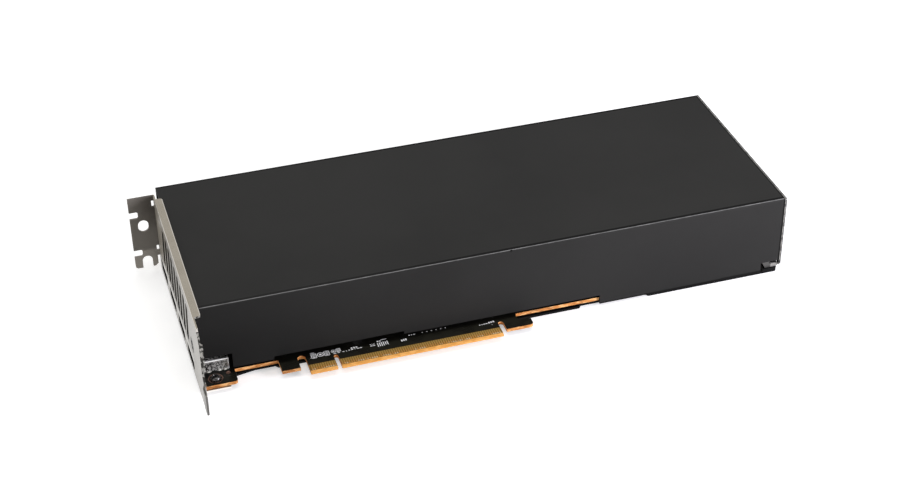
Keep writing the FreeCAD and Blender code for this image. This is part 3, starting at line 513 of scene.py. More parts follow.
def bracketFinish():
    look = bracketLook
    mat, tree, shader, coords = newFinish("platedSteel")
    x, y, z = millimetres(tree, coords)
    facing = split(tree, tree.nodes.new("ShaderNodeTexCoord").outputs["Normal"])
    brushed = noiseOf(tree, coords, look["grain"], 3.0, (9, 0.6, 9))
    cloud = noiseOf(tree, coords, look["cloudScale"], 4.0)
    streaky = rise(tree, times(tree, plus(tree, brushed, cloud), 0.5), *look["streakLevels"])
    colour = blend(tree, streaky, look["face"], look["facePale"])
    # painted shade: above the sockets the outer face is darker and duller, most of all two thirds of the way
    # to the tab
    upright = fall(tree, facing[2], *look["upright"])
    shadedFace = times(tree, rise(tree, y, *look["shadedAlong"]), rise(tree, z, *look["shadedUp"]), upright)
    faceShadeTone = blend(tree, rise(tree, y, *look["endAlong"]), look["faceShadeDeep"], look["faceShadeEnd"])
    colour = blend(tree, shadedFace, colour, faceShadeTone)
    # the shaded line before the tab's bend, painted shade, and the bright band over the sockets, a painted
    # highlight
    bend = times(
        tree,
        between(tree, y, *look["bendAlong"], look["bendSoft"]),
        rise(tree, z, *look["bendFoot"]),
        fall(tree, z, *look["bendTop"]),
    )
    colour = blend(tree, bend, colour, look["bend"])
    band = between(tree, z, *look["bandUp"], look["bandSoft"])
    band = times(tree, band, rise(tree, y, *look["bandAlong"]))
    colour = blend(tree, band, colour, look["bandHighlight"])
    # the black seat round the screw in the face
    out = [minus(tree, socket, at) for socket, at in zip((y, z), look["seatAt"])]
    away = maths(tree, "SQRT", plus(tree, *[times(tree, step, step) for step in out]))
    seat = times(tree, fall(tree, away, *look["seatReach"]), fall(tree, x, *look["seatDeep"]))
    colour = blend(tree, seat, colour, look["bend"])
    # cut faces of the vents: darker, partly bare steel and partly painted shade, and near black with painted
    # shade at their lower ends and in the vents towards the tab
    inSheet = times(
        tree,
        between(tree, x, *look["sheetDeep"], look["sheetSoft"]),
        between(tree, y, *look["ventsAlong"]),
        between(tree, z, *look["ventsUp"]),
        isLess(tree, maths(tree, "ABSOLUTE", facing[0]), look["facingEnds"]),
    )
    deep = fall(tree, y, *look["cutDeepAlong"], 1.0, look["cutDeepFar"])
    deep = times(tree, rise(tree, z, *look["cutDeepUp"]), deep)
    colour = blend(tree, inSheet, colour, blend(tree, deep, look["cutShade"], look["cut"]))
    # sheared near edges, rough and speckled
    speckle = rise(tree, noiseOf(tree, coords, look["speckleScale"], 2.0), *look["speckleLevels"])
    sheared = blend(tree, speckle, look["edgeDark"], look["edgePale"])
    nearEdge = isLess(tree, facing[1], look["facingTip"])
    nearEdge = times(tree, nearEdge, isLess(tree, y, look["nearEdgeBefore"]))
    colour = blend(tree, times(tree, nearEdge, look["sheared"]), colour, sheared)
    earEdge = times(tree, nearEdge, isMore(tree, x, look["earBehind"]), isLess(tree, z, look["earBelow"]))
    colour = blend(tree, earEdge, colour, look["earEdge"])
    # the flange and its fold: the flange's upward face takes a tone of its own as painted light, and the
    # fold and the turned edge a painted highlight
    flange = blend(tree, streaky, look["flange"], look["flangePale"])
    onTop = isMore(tree, z, look["flangeAbove"])
    colour = blend(tree, times(tree, onTop, rise(tree, facing[2], *look["facingUp"])), colour, flange)
    onFold = between(tree, facing[2], *look["facingFold"], look["foldSoft"])
    shine = most(tree, onFold, rise(tree, x, *look["turnedEdge"]))
    colour = blend(tree, times(tree, onTop, shine), colour, look["fold"])
    colour = blend(tree, fall(tree, y, *look["tongueAlong"]), colour, look["tongue"])
    # the tab, mottled, with painted shade: darker towards its top and next to its bend
    height = fall(tree, plus(tree, z, times(tree, cloud, look["cloudHeight"])), *look["tabUp"])
    tabMottleAndShade = blend(tree, height, look["tabShade"], look["tabPale"])
    tabMottleAndShade = blend(tree, fall(tree, x, *look["tabOut"], look["tabOuter"]), tabMottleAndShade, look["tabPale"])
    onTab = times(tree, isMore(tree, y, look["tabFrom"]), fall(tree, x, *look["tabDeep"]))
    dress(tree, shader, look, blend(tree, onTab, colour, tabMottleAndShade), brushed)
    # where the face carries painted shade, on the near edges, in the vents and along the bend the plating
    # scatters more than it mirrors
    scattered = times(tree, most(tree, shadedFace, nearEdge, inSheet, bend), look["scattered"])
    feed(tree, shader.inputs["Metallic"], minus(tree, 1.0, most(tree, seat, scattered)))
    return mat


# the gilt contacts, redder towards the bevel and rubbed pale at their tips
goldLook = dict(
    colour=(0.47, 0.285, 0.068),
    pale=(0.64, 0.42, 0.13),
    front=(0.76, 0.35, 0.085),
    rubbed=(0.95, 0.78, 0.50),
    giltLevels=(0.35, 0.65),
    frontAlong=(1.4, 4.8),  # millimetres from the connector's tip
    frontShare=0.9,
    rubbedAlong=(1.4, 2.1),
    rubbedScale=330,
    rubbedLevels=(0.48, 0.54),
    rubbedShare=0.85,
    metal=0.35,
    rough=(0.24, 0.40),
    grain=3200,
    bump=3e-6,
)


def goldFinish():
    look = goldLook
    mat, tree, shader, coords = newFinish("giltContact")
    brushed = noiseOf(tree, coords, look["grain"], 2.0, (8, 0.8, 1))
    y = millimetres(tree, coords)[1]
    gilt = blend(tree, rise(tree, brushed, *look["giltLevels"]), look["colour"], look["pale"])
    gilt = blend(tree, fall(tree, y, *look["frontAlong"], look["frontShare"]), gilt, look["front"])
    patches = noiseOf(tree, coords, look["rubbedScale"], 1.0)
    patches = rise(tree, patches, *look["rubbedLevels"], 0.0, look["rubbedShare"])
    gilt = blend(tree, times(tree, between(tree, y, *look["rubbedAlong"]), patches), gilt, look["rubbed"])
    dress(tree, shader, look, gilt, brushed)
    return mat


# pressed bright metal with a spangle: the socket shells and the end frame
spangleLooks = {
    "socket_shell": dict(
        dark=(0.05, 0.05, 0.048), pale=(0.60, 0.60, 0.57), edge=(0.95, 0.95, 0.93), inside=grey(0.012),
        edgeUp=(-0.35, -0.2), edgeAlong=(-0.5, -0.3), edgeAside=(-0.9, -0.8),  # from the shell's own edges
        insideUp=(-0.3, -0.2), insideAside=(-0.3, -0.2),
        bracketShadeAlong=(4.0, 8.0), bracketShade=(0.9, 0.25), bracketShadeLevels=(0.46, 0.60),
        cell=1500, metal=0.45, rough=(0.25, 0.45), bump=12e-6),
    "end_frame_metal": dict(
        dark=(0.085, 0.083, 0.080), pale=(0.27, 0.265, 0.25),
        joint=grey(0.012), leg=(0.060, 0.058, 0.054), heel=(0.26, 0.255, 0.24),
        jointAlong=(-1.2, -0.85), arrisAlong=(-0.40, -0.28), legAlong=(-4.7, -4.1),  # from the rear
        jointSoft=0.05, lipUp=(1.7, 2.1), legUp=(1.5, 1.8), heelUp=(0.1, 0.3), legDull=0.75,
        cell=620, metal=1.0, rough=(0.3, 0.46), bump=8e-6),
}
spangleShares = dict(tone=0.55, grain=0.45, finer=2.5, levels=(0.25, 0.7))
# a shell's collar stands out this far beside and above its body
shellSizes = dict(count=4, width=18.4, aside=0.6, above=1.3)


def paintShells(tree, look, colour, mixed, places):
    x, y, z = places
    low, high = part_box("display_socket_shells")
    rear, top = (high.x - bracketFace) / mm, high.z / mm - shellSizes["above"]
    near, far = low.y / mm + shellSizes["aside"], high.y / mm - shellSizes["aside"]
    width, half = shellSizes["width"], shellSizes["width"] / 2
    pitch = (far - near - width) / (shellSizes["count"] - 1)
    # how far a point lies from the middle of its own shell
    across = maths(tree, "MODULO", minus(tree, y, near + half - pitch / 2), pitch)
    across = maths(tree, "ABSOLUTE", minus(tree, across, pitch / 2))
    # painted highlight on the folded edges, and painted shade on the insides
    upper = rise(tree, z, *spanFrom(top, look["edgeUp"], 1))
    highlight = most(tree, upper, rise(tree, x, *spanFrom(rear, look["edgeAlong"], 1)))
    highlight = times(tree, highlight, rise(tree, across, *spanFrom(half, look["edgeAside"], 1)))
    colour = blend(tree, highlight, colour, look["edge"])
    dim = minus(tree, 1.0, highlight)
    hollowShade = times(
        tree,
        fall(tree, across, *spanFrom(half, look["insideAside"], 1)),
        fall(tree, z, *spanFrom(top, look["insideUp"], 1)),
    )
    colour = blend(tree, hollowShade, colour, look["inside"])
    # painted shade on the cheeks beside the bracket, broken up by the spangle
    fading = fall(tree, x, *look["bracketShadeAlong"], *look["bracketShade"])
    bracketShade = times(tree, fall(tree, mixed, *look["bracketShadeLevels"]), fading, dim)
    colour = blend(tree, bracketShade, colour, look["inside"])
    return colour, times(tree, dim, look["metal"])


def paintEndFrame(tree, look, colour, places):
    x, y, z = places
    rear = (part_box("end_frame")[1].x - bracketFace) / mm
    # a dark joint before the lip, and painted shade on the outer arris
    joint = between(tree, x, *spanFrom(rear, look["jointAlong"], 1), look["jointSoft"])
    dim = most(tree, joint, rise(tree, x, *spanFrom(rear, look["arrisAlong"], 1)))
    dim = times(tree, dim, rise(tree, z, *look["lipUp"]))
    colour = blend(tree, dim, colour, look["joint"])
    # the leg is dark where it leaves the slot and lighter towards its heel
    below = fall(tree, z, *look["legUp"])
    heel = blend(tree, rise(tree, z, *look["heelUp"]), look["heel"], look["joint"])
    leg = blend(tree, rise(tree, x, *spanFrom(rear, look["legAlong"], 1)), look["leg"], heel)
    colour = blend(tree, below, colour, leg)
    return colour, minus(tree, 1.0, most(tree, dim, times(tree, below, look["legDull"])))


def spangleFinish(name, look):
    mat, tree, shader, coords = newFinish(name)
    cells = put(tree, "TexVoronoi", {"Vector": coords, "Scale": look["cell"]}).outputs["Color"]
    tone = put(tree, "SeparateColor", {"Color": cells}).outputs[0]
    shares = spangleShares
    grain = noiseOf(tree, coords, look["cell"] * shares["finer"], 3.0)
    mixed = plus(tree, times(tree, tone, shares["tone"]), times(tree, grain, shares["grain"]))
    colour = blend(tree, rise(tree, mixed, *shares["levels"]), look["dark"], look["pale"])
    places = millimetres(tree, coords)
    if name == "socket_shell":
        colour, metal = paintShells(tree, look, colour, mixed, places)
    else:
        colour, metal = paintEndFrame(tree, look, colour, places)
    dress(tree, shader, look, colour, grain, mixed)
    feed(tree, shader.inputs["Metallic"], metal)
    return mat


finishes = {name: plainFinish(name, look) for name, look in plainFinishes.items()}
finishes.update({name: spangleFinish(name, look) for name, look in spangleLooks.items()})
finishes["board"] = boardFinish()
finishes["shroud_paint"] = shroudFinish()
finishes["bracket_steel"] = bracketFinish()
finishes["gold"] = goldFinish()
for part in frame["record"]["subparts"]:
    mesh = frame["nodes"][part["node"]].data
    mesh.materials.clear()
    mesh.materials.append(finishes[part["material_slot"]])
print("finishes made:", len(finishes))


# mesh helpers
def meshOf(name, bm):
    mesh = bpy.data.meshes.new(name)
    bm.to_mesh(mesh)
    bm.free()
    return mesh


def addObject(name, data):
    item = bpy.data.objects.new(name, data)
    bpy.context.scene.collection.objects.link(item)
    return item


def addPiece(name, bm, slot, material=None, smooth=None):
    bmesh.ops.recalc_face_normals(bm, faces=bm.faces)
    mesh = meshOf(name, bm)
    mesh.materials.append(material or finishes[slot])
    piece = addObject(name, mesh)
    if smooth:
        mesh.shade_smooth()
        mesh.set_sharp_from_angle(angle=math.radians(smooth))
    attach(piece, "root")
    return piece


def merge(bm, mesh, matrix):
    # a moved copy of a loose mesh goes into a piece
    mesh.transform(matrix)
    bm.from_mesh(mesh)
    bpy.data.meshes.remove(mesh)


def islandsOf(node):
    # the boxes of a node's separate solids, from the bracket end to the rear
    bm = bmesh.new()
    bm.from_mesh(frame["nodes"][node].data)
    bmesh.ops.remove_doubles(bm, verts=bm.verts, dist=1e-6)
    waiting = set(bm.verts)
    boxes = []
    while waiting:
        first = waiting.pop()
        group, unread = [first], [first]
        while unread:
            for edge in unread.pop().link_edges:
                for vert in edge.verts:
                    if vert in waiting:
                        waiting.remove(vert)
                        group.append(vert)
                        unread.append(vert)
        low = Vector([min(v.co[i] for v in group) for i in range(3)])
        high = Vector([max(v.co[i] for v in group) for i in range(3)])
        boxes.append((low, high))
    bm.free()
    return sorted(boxes, key=lambda b: (round(b[0].x, 4), b[0].y))


def circleOf(bm, centre, radius, segments):
    angles = [2 * math.pi * i / segments for i in range(segments)]
    return [bm.verts.new(centre + Vector((radius * math.cos(a), radius * math.sin(a), 0))) for a in angles]


def turned(bm, profile, segments):
    # a closed turned solid about Z, from (radius, height) points whose ends lie on the axis
    rings = []
    for radius, height in profile:
        onAxis = radius < 1e-7
        centre = Vector((0, 0, height))
        rings.append([bm.verts.new(centre)] if onAxis else circleOf(bm, centre, radius, segments))
    for a, b in zip(rings, rings[1:]):
        for i in range(segments):
            j = (i + 1) % segments
            corners = [a[i % len(a)], a[j % len(a)], b[j % len(b)], b[i % len(b)]]
            corners = [v for k, v in enumerate(corners) if v not in corners[:k]]
            if len(corners) > 2:
                bm.faces.new(corners)
    bmesh.ops.recalc_face_normals(bm, faces=bm.faces)


def addRing(bm, centre, inner, outer, height, segments):
    rings = []
    for radius, level in ((inner, 0), (inner, height), (outer, height), (outer, 0)):
        rings.append(circleOf(bm, centre + Vector((0, 0, level)), radius, segments))
    for a, b in zip(rings, rings[1:] + rings[:1]):
        for i in range(segments):
            j = (i + 1) % segments
            bm.faces.new([a[i], a[j], b[j], b[i]])


def extruded(bm, outline, low, high, shrink=1.0):
    # a prism between two heights, its low end shrunk about the outline's middle
    middle = sum((Vector(p) for p in outline), Vector((0, 0))) / len(outline)
    under = [bm.verts.new((*(middle + (Vector(p) - middle) * shrink), low)) for p in outline]
    over = [bm.verts.new((*p, high)) for p in outline]
    faces = [bm.faces.new(under[::-1]), bm.faces.new(over)]
    for i in range(len(outline)):
        j = (i + 1) % len(outline)
        faces.append(bm.faces.new([under[i], under[j], over[j], over[i]]))
    return faces


def bar(bm, low, high, soften):
    # a block with its edges taken off
    outline = [(low[0], low[1]), (high[0], low[1]), (high[0], high[1]), (low[0], high[1])]
    edges = list({edge for face in extruded(bm, outline, low[2], high[2]) for edge in face.edges})
    bmesh.ops.bevel(bm, geom=edges, offset=soften, segments=2, affect="EDGES", profile=0.6)


# screws, with cross recesses, in place of the plain ones
flatHead = dict(slot="black_screw", head="flat", radius=2.2, height=1.05, shank=1.2, recess=1.3, depth=0.7)
screwLooks = {
    "bracket_screws": dict(
        name="bracketScrews", slot="black_screw",
        head="pan", radius=2.15, height=1.5, shank=1.4, recess=1.45, depth=0.95),
    "cast_frame_screws": dict(name="castFrameScrews", **flatHead),
    "end_frame_screws": dict(name="endFrameScrews", **flatHead),
    "shroud_screws": dict(
        name="shroudScrews", slot="black_screw",
        head="flat", radius=2.0, height=1.0, shank=1.0, recess=1.2, depth=0.65),
    "retention_screws": dict(
        name="retentionScrews", slot="bright_screw",
        head="cheese", radius=2.6, height=1.0, shank=1.2, recess=1.5, depth=0.7),
}
# the one in the bracket's face, matt black but for the middle of its recess, which is painted bright as a
# highlight
faceScrewLook = dict(
    head="flat", radius=2.15, height=0.86, shank=1.4, recess=1.35, depth=0.6, middle=0.9,
    colour=grey(0.004), other=grey(0.010), rough=(0.4, 0.5), grain=1500, bump=5e-6, gleam=0.0)
# heads from the axis outwards, as shares of the radius and the height
headProfiles = dict(
    pan=((0, 1), (0.45, 0.97), (0.72, 0.86), (0.90, 0.64), (0.98, 0.40), (1, 0.16), (0.985, 0)),
    cheese=((0, 1), (0.84, 1), (0.93, 0.95), (0.985, 0.8), (1, 0.6), (1, 0.1), (0.98, 0)),
    flat=((0, 0), (0.95, 0), (0.99, -0.03), (0.985, -0.1)),
)
crossLook = dict(armHalf=0.2, throat=1.5, taper=0.45, clear=0.25)  # shares of reach, arm, outline and depth
threadLook = dict(pitch=0.45, root=0.88, end=0.8)  # millimetres, and shares of the shank
lying = 1.3  # a screw this many times longer than high lies on its side
recessTurn = 900  # radians a metre, so that each recess is turned its own way


def crossRecess(bm, reach, depth, top):
    half = reach * crossLook["armHalf"]
    inner = half * crossLook["throat"]
    outline = []
    for turn in range(4):
        c, s = math.cos(turn * math.pi / 2), math.sin(turn * math.pi / 2)
        for along, aside in ((reach, -half), (reach, half), (inner, inner)):
            outline.append((along * c - aside * s, along * s + aside * c))
    extruded(bm, outline, top - depth, top + depth * crossLook["clear"], crossLook["taper"])


def makeScrewMesh(look, length):
    # the head stands on Z = 0 when it is a pan or cheese head, and hangs below it when flat
    r, h, s = look["radius"] * mm, look["height"] * mm, look["shank"] * mm
    top, neck = (0, -h) if look["head"] == "flat" else (h, 0)
    end = top - length
    profile = [(r * out, h * up) for out, up in headProfiles[look["head"]]] + [(s, neck)]
    pitch = threadLook["pitch"] * mm
    for i in range(int((neck - end) / pitch) - 1):
        level = profile[-1][1] - pitch * 0.5
        profile += [(s * threadLook["root"], level), (s, level - pitch * 0.5)]
    profile += [(s * threadLook["end"], end), (0, end)]
    bm = bmesh.new()
    turned(bm, profile, 36)
    body = addObject("screwBody", meshOf("screwBody", bm))
    bm = bmesh.new()
    crossRecess(bm, look["recess"] * mm, look["depth"] * mm, top)
    bmesh.ops.recalc_face_normals(bm, faces=bm.faces)
    cutter = addObject("screwCutter", meshOf("screwCutter", bm))
    modifier = body.modifiers.new("recess", "BOOLEAN")
    modifier.object = cutter
    modifier.operation = "DIFFERENCE"
    modifier.solver = "EXACT"
    graph = bpy.context.evaluated_depsgraph_get()
    result = bpy.data.meshes.new_from_object(body.evaluated_get(graph))
    for item in (body, cutter):
        bpy.data.objects.remove(item)
    return result


def screwPose(node, low, high, inFace):
    # which way a screw faces, where the top of its head is, and its length
    size, middle = high - low, (high + low) / 2
    if inFace:
        return Matrix.Rotation(-math.pi / 2, 4, "Y"), Vector((low.x, middle.y, middle.z)), size.x
    if node == "bracket_screws":
        return Matrix.Identity(4), Vector((middle.x, middle.y, high.z)), size.z
    if node == "shroud_screws":
        return Matrix.Rotation(-math.pi / 2, 4, "X"), Vector((middle.x, high.y, middle.z)), size.y
    return Matrix.Rotation(math.pi, 4, "X"), Vector((middle.x, middle.y, low.z)), size.z


def placeScrews(node, look):
    bm = bmesh.new()
    for low, high in islandsOf(node):
        inFace = node == "bracket_screws" and high.x - low.x > (high.z - low.z) * lying
        shape = faceScrewLook if inFace else look
        facing, top, length = screwPose(node, low, high, inFace)
        mesh = makeScrewMesh(shape, length)
        if inFace:
            # the middle of the recess takes the bright screw finish: a painted highlight
            for polygon in mesh.polygons:
                polygon.material_index = 2 if polygon.center.xy.length < shape["middle"] * mm else 1
        headTop = 0 if shape["head"] == "flat" else shape["height"] * mm
        turn = Matrix.Rotation(low.x * recessTurn, 4, "Z")
        merge(bm, mesh, Matrix.Translation(top) @ facing @ turn @ Matrix.Translation((0, 0, -headTop)))
    piece = addPiece(look["name"], bm, look["slot"], smooth=35)
    if node == "bracket_screws":
        piece.data.materials.append(plainFinish("faceScrewBlack", faceScrewLook))
        piece.data.materials.append(finishes["bright_screw"])
    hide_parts(node)


for node, look in screwLooks.items():
    placeScrews(node, look)
print("screws placed")


# gilt blades in the display sockets
bladeLook = dict(
    count=10, width=0.5, thickness=0.06, start=0.3, length=7.5, margin=2.4, under=2.9, over=4.1, soften=0.02)


def makeSocketBlades():
    look = bladeLook
    bm = bmesh.new()
    thickness, half = look["thickness"] * mm, look["width"] * mm / 2
    for low, high in islandsOf("display_socket_inserts"):
        step = (high.y - low.y - 2 * look["margin"] * mm) / (look["count"] - 1)
        near = low.x + look["start"] * mm
        far = near + look["length"] * mm
        for i in range(look["count"]):
            y = low.y + look["margin"] * mm + i * step
            for level in (look["under"] * mm - thickness, look["over"] * mm):
                bar(bm, (near, y - half, level), (far, y + half, level + thickness), look["soften"] * mm)
    addPiece("socketBlades", bm, "gold")


makeSocketBlades()


def cheeksOf(low, high):
    # the two side walls of a shell: which way each faces, and where it is
    aside = shellSizes["aside"] * mm
    return (-1, low.y + aside), (1, high.y - aside)


# soldered feet beside each socket shell
footLook = dict(places=(4.5, 9.2, 11.6), width=1.3, height=1.1, thickness=0.28, soften=0.06)
solderLook = dict(
    radius=0.75, aside=0.2, lift=0.01, spread=(1.5, 0.7, 1),
    profile=((0, 0.75), (0.35, 0.66), (0.6, 0.36), (0.85, 0.12), (1.15, 0), (0, 0)))  # shares of the radius


def addSolder(bm, centre):
    mound = bmesh.new()
    r = solderLook["radius"] * mm
    turned(mound, [(r * out, r * up) for out, up in solderLook["profile"]], 20)
    stretch = Matrix.Diagonal((*solderLook["spread"], 1))
    merge(bm, meshOf("mound", mound), Matrix.Translation(centre) @ stretch)


def makeShellFeet():
    feet, solder = bmesh.new(), bmesh.new()
    half, height = footLook["width"] * mm / 2, footLook["height"] * mm
    for low, high in islandsOf("display_socket_shells"):
        for along in footLook["places"]:
            x = low.x + along * mm
            for side, face in cheeksOf(low, high):
                near, far = sorted((face, face + side * footLook["thickness"] * mm))
                bar(feet, (x - half, near, 0), (x + half, far, height), footLook["soften"] * mm)
                addSolder(solder, (x, face + side * solderLook["aside"] * mm, solderLook["lift"] * mm))
    addPiece("shellFeet", feet, "socket_shell")
    addPiece("shellSolder", solder, "bright_screw", smooth=50)


makeShellFeet()

# the shells' folded edges, rounded, in a near-white finish that paints their highlight
beadLook = dict(
    radius=0.55, sunk=0.7, collar=1.0, lift=0.02,
    colour=(0.86, 0.86, 0.85), other=(0.95, 0.95, 0.94), metal=0.6, rough=(0.12, 0.22), grain=900, bump=2e-6)
beadMaterial = plainFinish("beadHighlight", beadLook)


def addRod(bm, start, end, radius):
    along = end - start
    turn = along.to_track_quat("Z", "Y").to_matrix().to_4x4()
    rod = bmesh.ops.create_cone(
        bm, cap_ends=True, segments=14, radius1=radius, radius2=radius, depth=along.length)
    bmesh.ops.transform(bm, matrix=Matrix.Translation((start + end) / 2) @ turn, verts=rod["verts"])


def makeShellBeads():
    bm = bmesh.new()
    r = beadLook["radius"] * mm
    sunk = r * beadLook["sunk"]
    for low, high in islandsOf("display_socket_shells"):
        top = high.z - shellSizes["above"] * mm - sunk
        start, rear = low.x + beadLook["collar"] * mm, high.x
        for side, face in cheeksOf(low, high):
            y = face - side * sunk
            addRod(bm, Vector((start, y, top)), Vector((rear - r, y, top)), r)
            addRod(bm, Vector((rear - sunk, y, beadLook["lift"] * mm)), Vector((rear - sunk, y, top)), r)
    addPiece("shellBeads", bm, "socket_shell", beadMaterial, smooth=40)


makeShellBeads()
print("sockets finished")


# a black sheet behind the slots in the end frame's legs: painted shade for the dark inside them
slotShadeLook = dict(
    inside=1.96,  # from the wall's outer face, and the others are millimetres too
    thickness=0.12, length=6.4, rearGap=1.1, low=-1.2, high=2.2,
    colour=grey(0.0010), other=grey(0.0016), rough=(0.7, 0.85), grain=3000, bump=4e-6, gleam=0.0)
slotShadeMaterial = plainFinish("slotShadeBlack", slotShadeLook)


def makeSlotShade():
    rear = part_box("end_frame")[1].x
    wallFront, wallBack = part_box("shroud")[0].y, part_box("shroud")[1].y
    bm = bmesh.new()
    start, end = rear - slotShadeLook["length"] * mm, rear - slotShadeLook["rearGap"] * mm
    for face, side in ((wallFront, 1), (wallBack, -1)):
        outer = face + side * slotShadeLook["inside"] * mm
        near, far = sorted((outer, outer + side * slotShadeLook["thickness"] * mm))
        outline = [(start, near), (end, near), (end, far), (start, far)]
        extruded(bm, outline, slotShadeLook["low"] * mm, slotShadeLook["high"] * mm)
    addPiece("slotShadeSheet", bm, "black_plastic", slotShadeMaterial)


makeSlotShade()


# the ring of bare copper under the ear screw with its small vias, and a bare test point beside it
copperLook = dict(
    ringAt=(7.4, 8.6), ring=(2.72, 3.22), lift=0.02,
    vias=12, viaCircle=2.32, via=(0.08, 0.2),
    pointAt=(13.3, 11.0), point=(0.25, 1.05),
    colour=(0.22, 0.10, 0.07), other=(0.40, 0.24, 0.19), metal=1.0, rough=(0.25, 0.4), grain=1800, bump=8e-6)
copperMaterial = plainFinish("bareCopper", copperLook)


def addCopper(bm, centre, radii, segments):
    addRing(bm, centre, radii[0] * mm, radii[1] * mm, copperLook["lift"] * mm, segments)


def makeEarCopper():
    look = copperLook
    bm = bmesh.new()
    centre = spot(*look["ringAt"])
    addCopper(bm, centre, look["ring"], 40)
    r = look["viaCircle"] * mm
    for i in range(look["vias"]):
        angle = 2 * math.pi * (i + 0.5) / look["vias"]
        addCopper(bm, centre + Vector((r * math.cos(angle), r * math.sin(angle), 0)), look["via"], 12)
    addCopper(bm, spot(*look["pointAt"]), look["point"], 28)
    addPiece("earCopper", bm, "gold", copperMaterial)


makeEarCopper()


# printed marks on the board: plain rings, bars and dots
inkLook = dict(
    height=0.02, corner=0.3,
    colour=(0.84, 0.85, 0.84), other=(0.96, 0.96, 0.95), rough=(0.5, 0.7), grain=3000, bump=6e-6)
inkMaterial = plainFinish("whiteInk", inkLook)
# shares of a mark's size, or of its row's pitch for the widths of dashes, uprights and blocks
markLook = dict(
    target=dict(ring=(0.34, 0.44), dot=0.34, tick=0.2, tickAt=(0.5, 0.3)),
    panel=dict(
        width=0.72, line=0.1, barLeast=0.34, barMore=0.2, barLine=0.12, barStep=0.25, dotAt=(-0.45, -0.32)),
    dash=dict(least=0.6, more=0.3),
    upright=dict(width=0.5, least=0.8, more=0.3),
    blockWidth=0.72,
    dotDepth=0.9,
)
rowMarks = [  # where a row starts and ends, as spot() takes them, its marks' size and their kinds
    ((48.6, 10.6), (57.2, 11.0), 3.3, "panel target panel"),
    ((48.8, 12.8), (50.8, 12.8), 0.3, "dash"),
    ((57.6, 11.2), (62.2, 11.6), 2.4, "target panel"),
    ((58.2, 9.6), (61.6, 9.8), 0.4, "dash dash"),
    ((62.2, 9.8), (71.2, 10.2), 0.45, "dash dot dash dash dot dash dash"),
    ((66.2, 11.0), (69.4, 11.1), 0.9, "block block block"),
    ((74.6, 9.8), (76.9, 9.8), 0.4, "dash dash"),
    ((74.6, 10.8), (76.9, 10.9), 0.4, "dash dot dash"),
    ((77.6, 9.6), (82.8, 10.1), 2.6, "upright " * 6),
    ((77.9, 12.0), (80.0, 12.1), 0.8, "block dash"),
    ((79.5, 12.7), (83.0, 12.8), 0.35, "dash"),
    ((88.1, 9.4), (90.9, 9.7), 1.3, "block block block"),
    ((92.0, 12.0), (95.4, 12.1), 0.5, "dash dot dash"),
    ((97.5, 12.2), (110.0, 12.3), 0.5, "dot " * 6),
    ((123.2, 9.4), (127.4, 9.6), 0.5, "dash dot dash dash"),
    ((127.6, 9.8), (130.6, 10.2), 1.0, "block block block"),
    ((128.5, 8.0), (129.3, 8.0), 0.35, "dot"),
]


def shifted(centre, x, y):
    return centre + Vector((x, y, 0))


def addInkBar(bm, centre, width, depth):
    corner = min(width, depth) * inkLook["corner"]
    outline = []
    for sx, sy in ((1, 1), (-1, 1), (-1, -1), (1, -1)):
        x, y = centre.x + sx * (width / 2 - corner), centre.y + sy * (depth / 2 - corner)
        for k in range(4):
            angle = math.atan2(sy, sx) + math.radians(-45 + 30 * k)
            outline.append((x + corner * math.cos(angle), y + corner * math.sin(angle)))
    extruded(bm, outline, centre.z, centre.z + inkLook["height"] * mm)


def addTarget(bm, centre, size):
    look = markLook["target"]
    addRing(bm, centre, size * look["ring"][0], size * look["ring"][1], inkLook["height"] * mm, 24)
    addInkBar(bm, centre, size * look["dot"], size * look["dot"])
    tick = shifted(centre, size * look["tickAt"][0], size * look["tickAt"][1])
    addInkBar(bm, tick, size * look["tick"], size * look["tick"])


def addPanel(bm, centre, size, chance):
    # the outline of a component's place, with three bars in it and a dot at its corner
    look = markLook["panel"]
    width, line = size * look["width"], size * look["line"]
    for side in (-1, 1):
        addInkBar(bm, shifted(centre, side * (width - line) / 2, 0), line, size)
    for side in (-1, 1):
        addInkBar(bm, shifted(centre, 0, side * (size - line) / 2), width, line)
    for k in (-1, 0, 1):
        length = size * (look["barLeast"] + look["barMore"] * chance.random())
        addInkBar(bm, shifted(centre, 0, size * k * look["barStep"]), length, size * look["barLine"])
    dot = shifted(centre, size * look["dotAt"][0], size * look["dotAt"][1])
    addInkBar(bm, dot, size * look["barLine"], size * look["barLine"])


def addMark(bm, kind, centre, size, pitch, chance):
    dash, upright = markLook["dash"], markLook["upright"]
    if kind == "target":
        addTarget(bm, centre, size)
    elif kind == "panel":
        addPanel(bm, centre, size, chance)
    elif kind == "dash":
        addInkBar(bm, centre, pitch * (dash["least"] + dash["more"] * chance.random()), size)
    elif kind == "upright":
        depth = size * (upright["least"] + upright["more"] * chance.random())
        addInkBar(bm, centre, pitch * upright["width"], depth)
    elif kind == "block":
        addInkBar(bm, centre, pitch * markLook["blockWidth"], size)
    else:
        addInkBar(bm, centre, size, size * markLook["dotDepth"])


def makeInk():
    chance = random.Random(4)
    bm = bmesh.new()
    for first, last, size, words in rowMarks:
        kinds = words.split()
        start, end = Vector(first), Vector(last)
        pitch = (end.x - start.x) / len(kinds)
        for i, kind in enumerate(kinds):
            x = start.x + (i + 0.5) * pitch
            y = start.y + (end.y - start.y) * (i + 0.5) / len(kinds)
            addMark(bm, kind, spot(x, y), size * mm, pitch * mm, chance)
    addPiece("boardMarks", bm, "board", inkMaterial)


makeInk()
print("board marks made")


# floor, light and camera
floorLook = dict(colour=grey(0.90), lift=0.42, size=4.0, steps=8, gap=0.02, rough=0.9)
worldLook = dict(diffuse=0.38, seen=1.0)


def seenRays(tree):
    # 1 for what the camera sees, straight, in a gloss or through something clear
    paths = tree.nodes.new("ShaderNodeLightPath").outputs
    return most(tree, *[paths[kind] for kind in ("Is Camera Ray", "Is Glossy Ray", "Is Transmission Ray")])


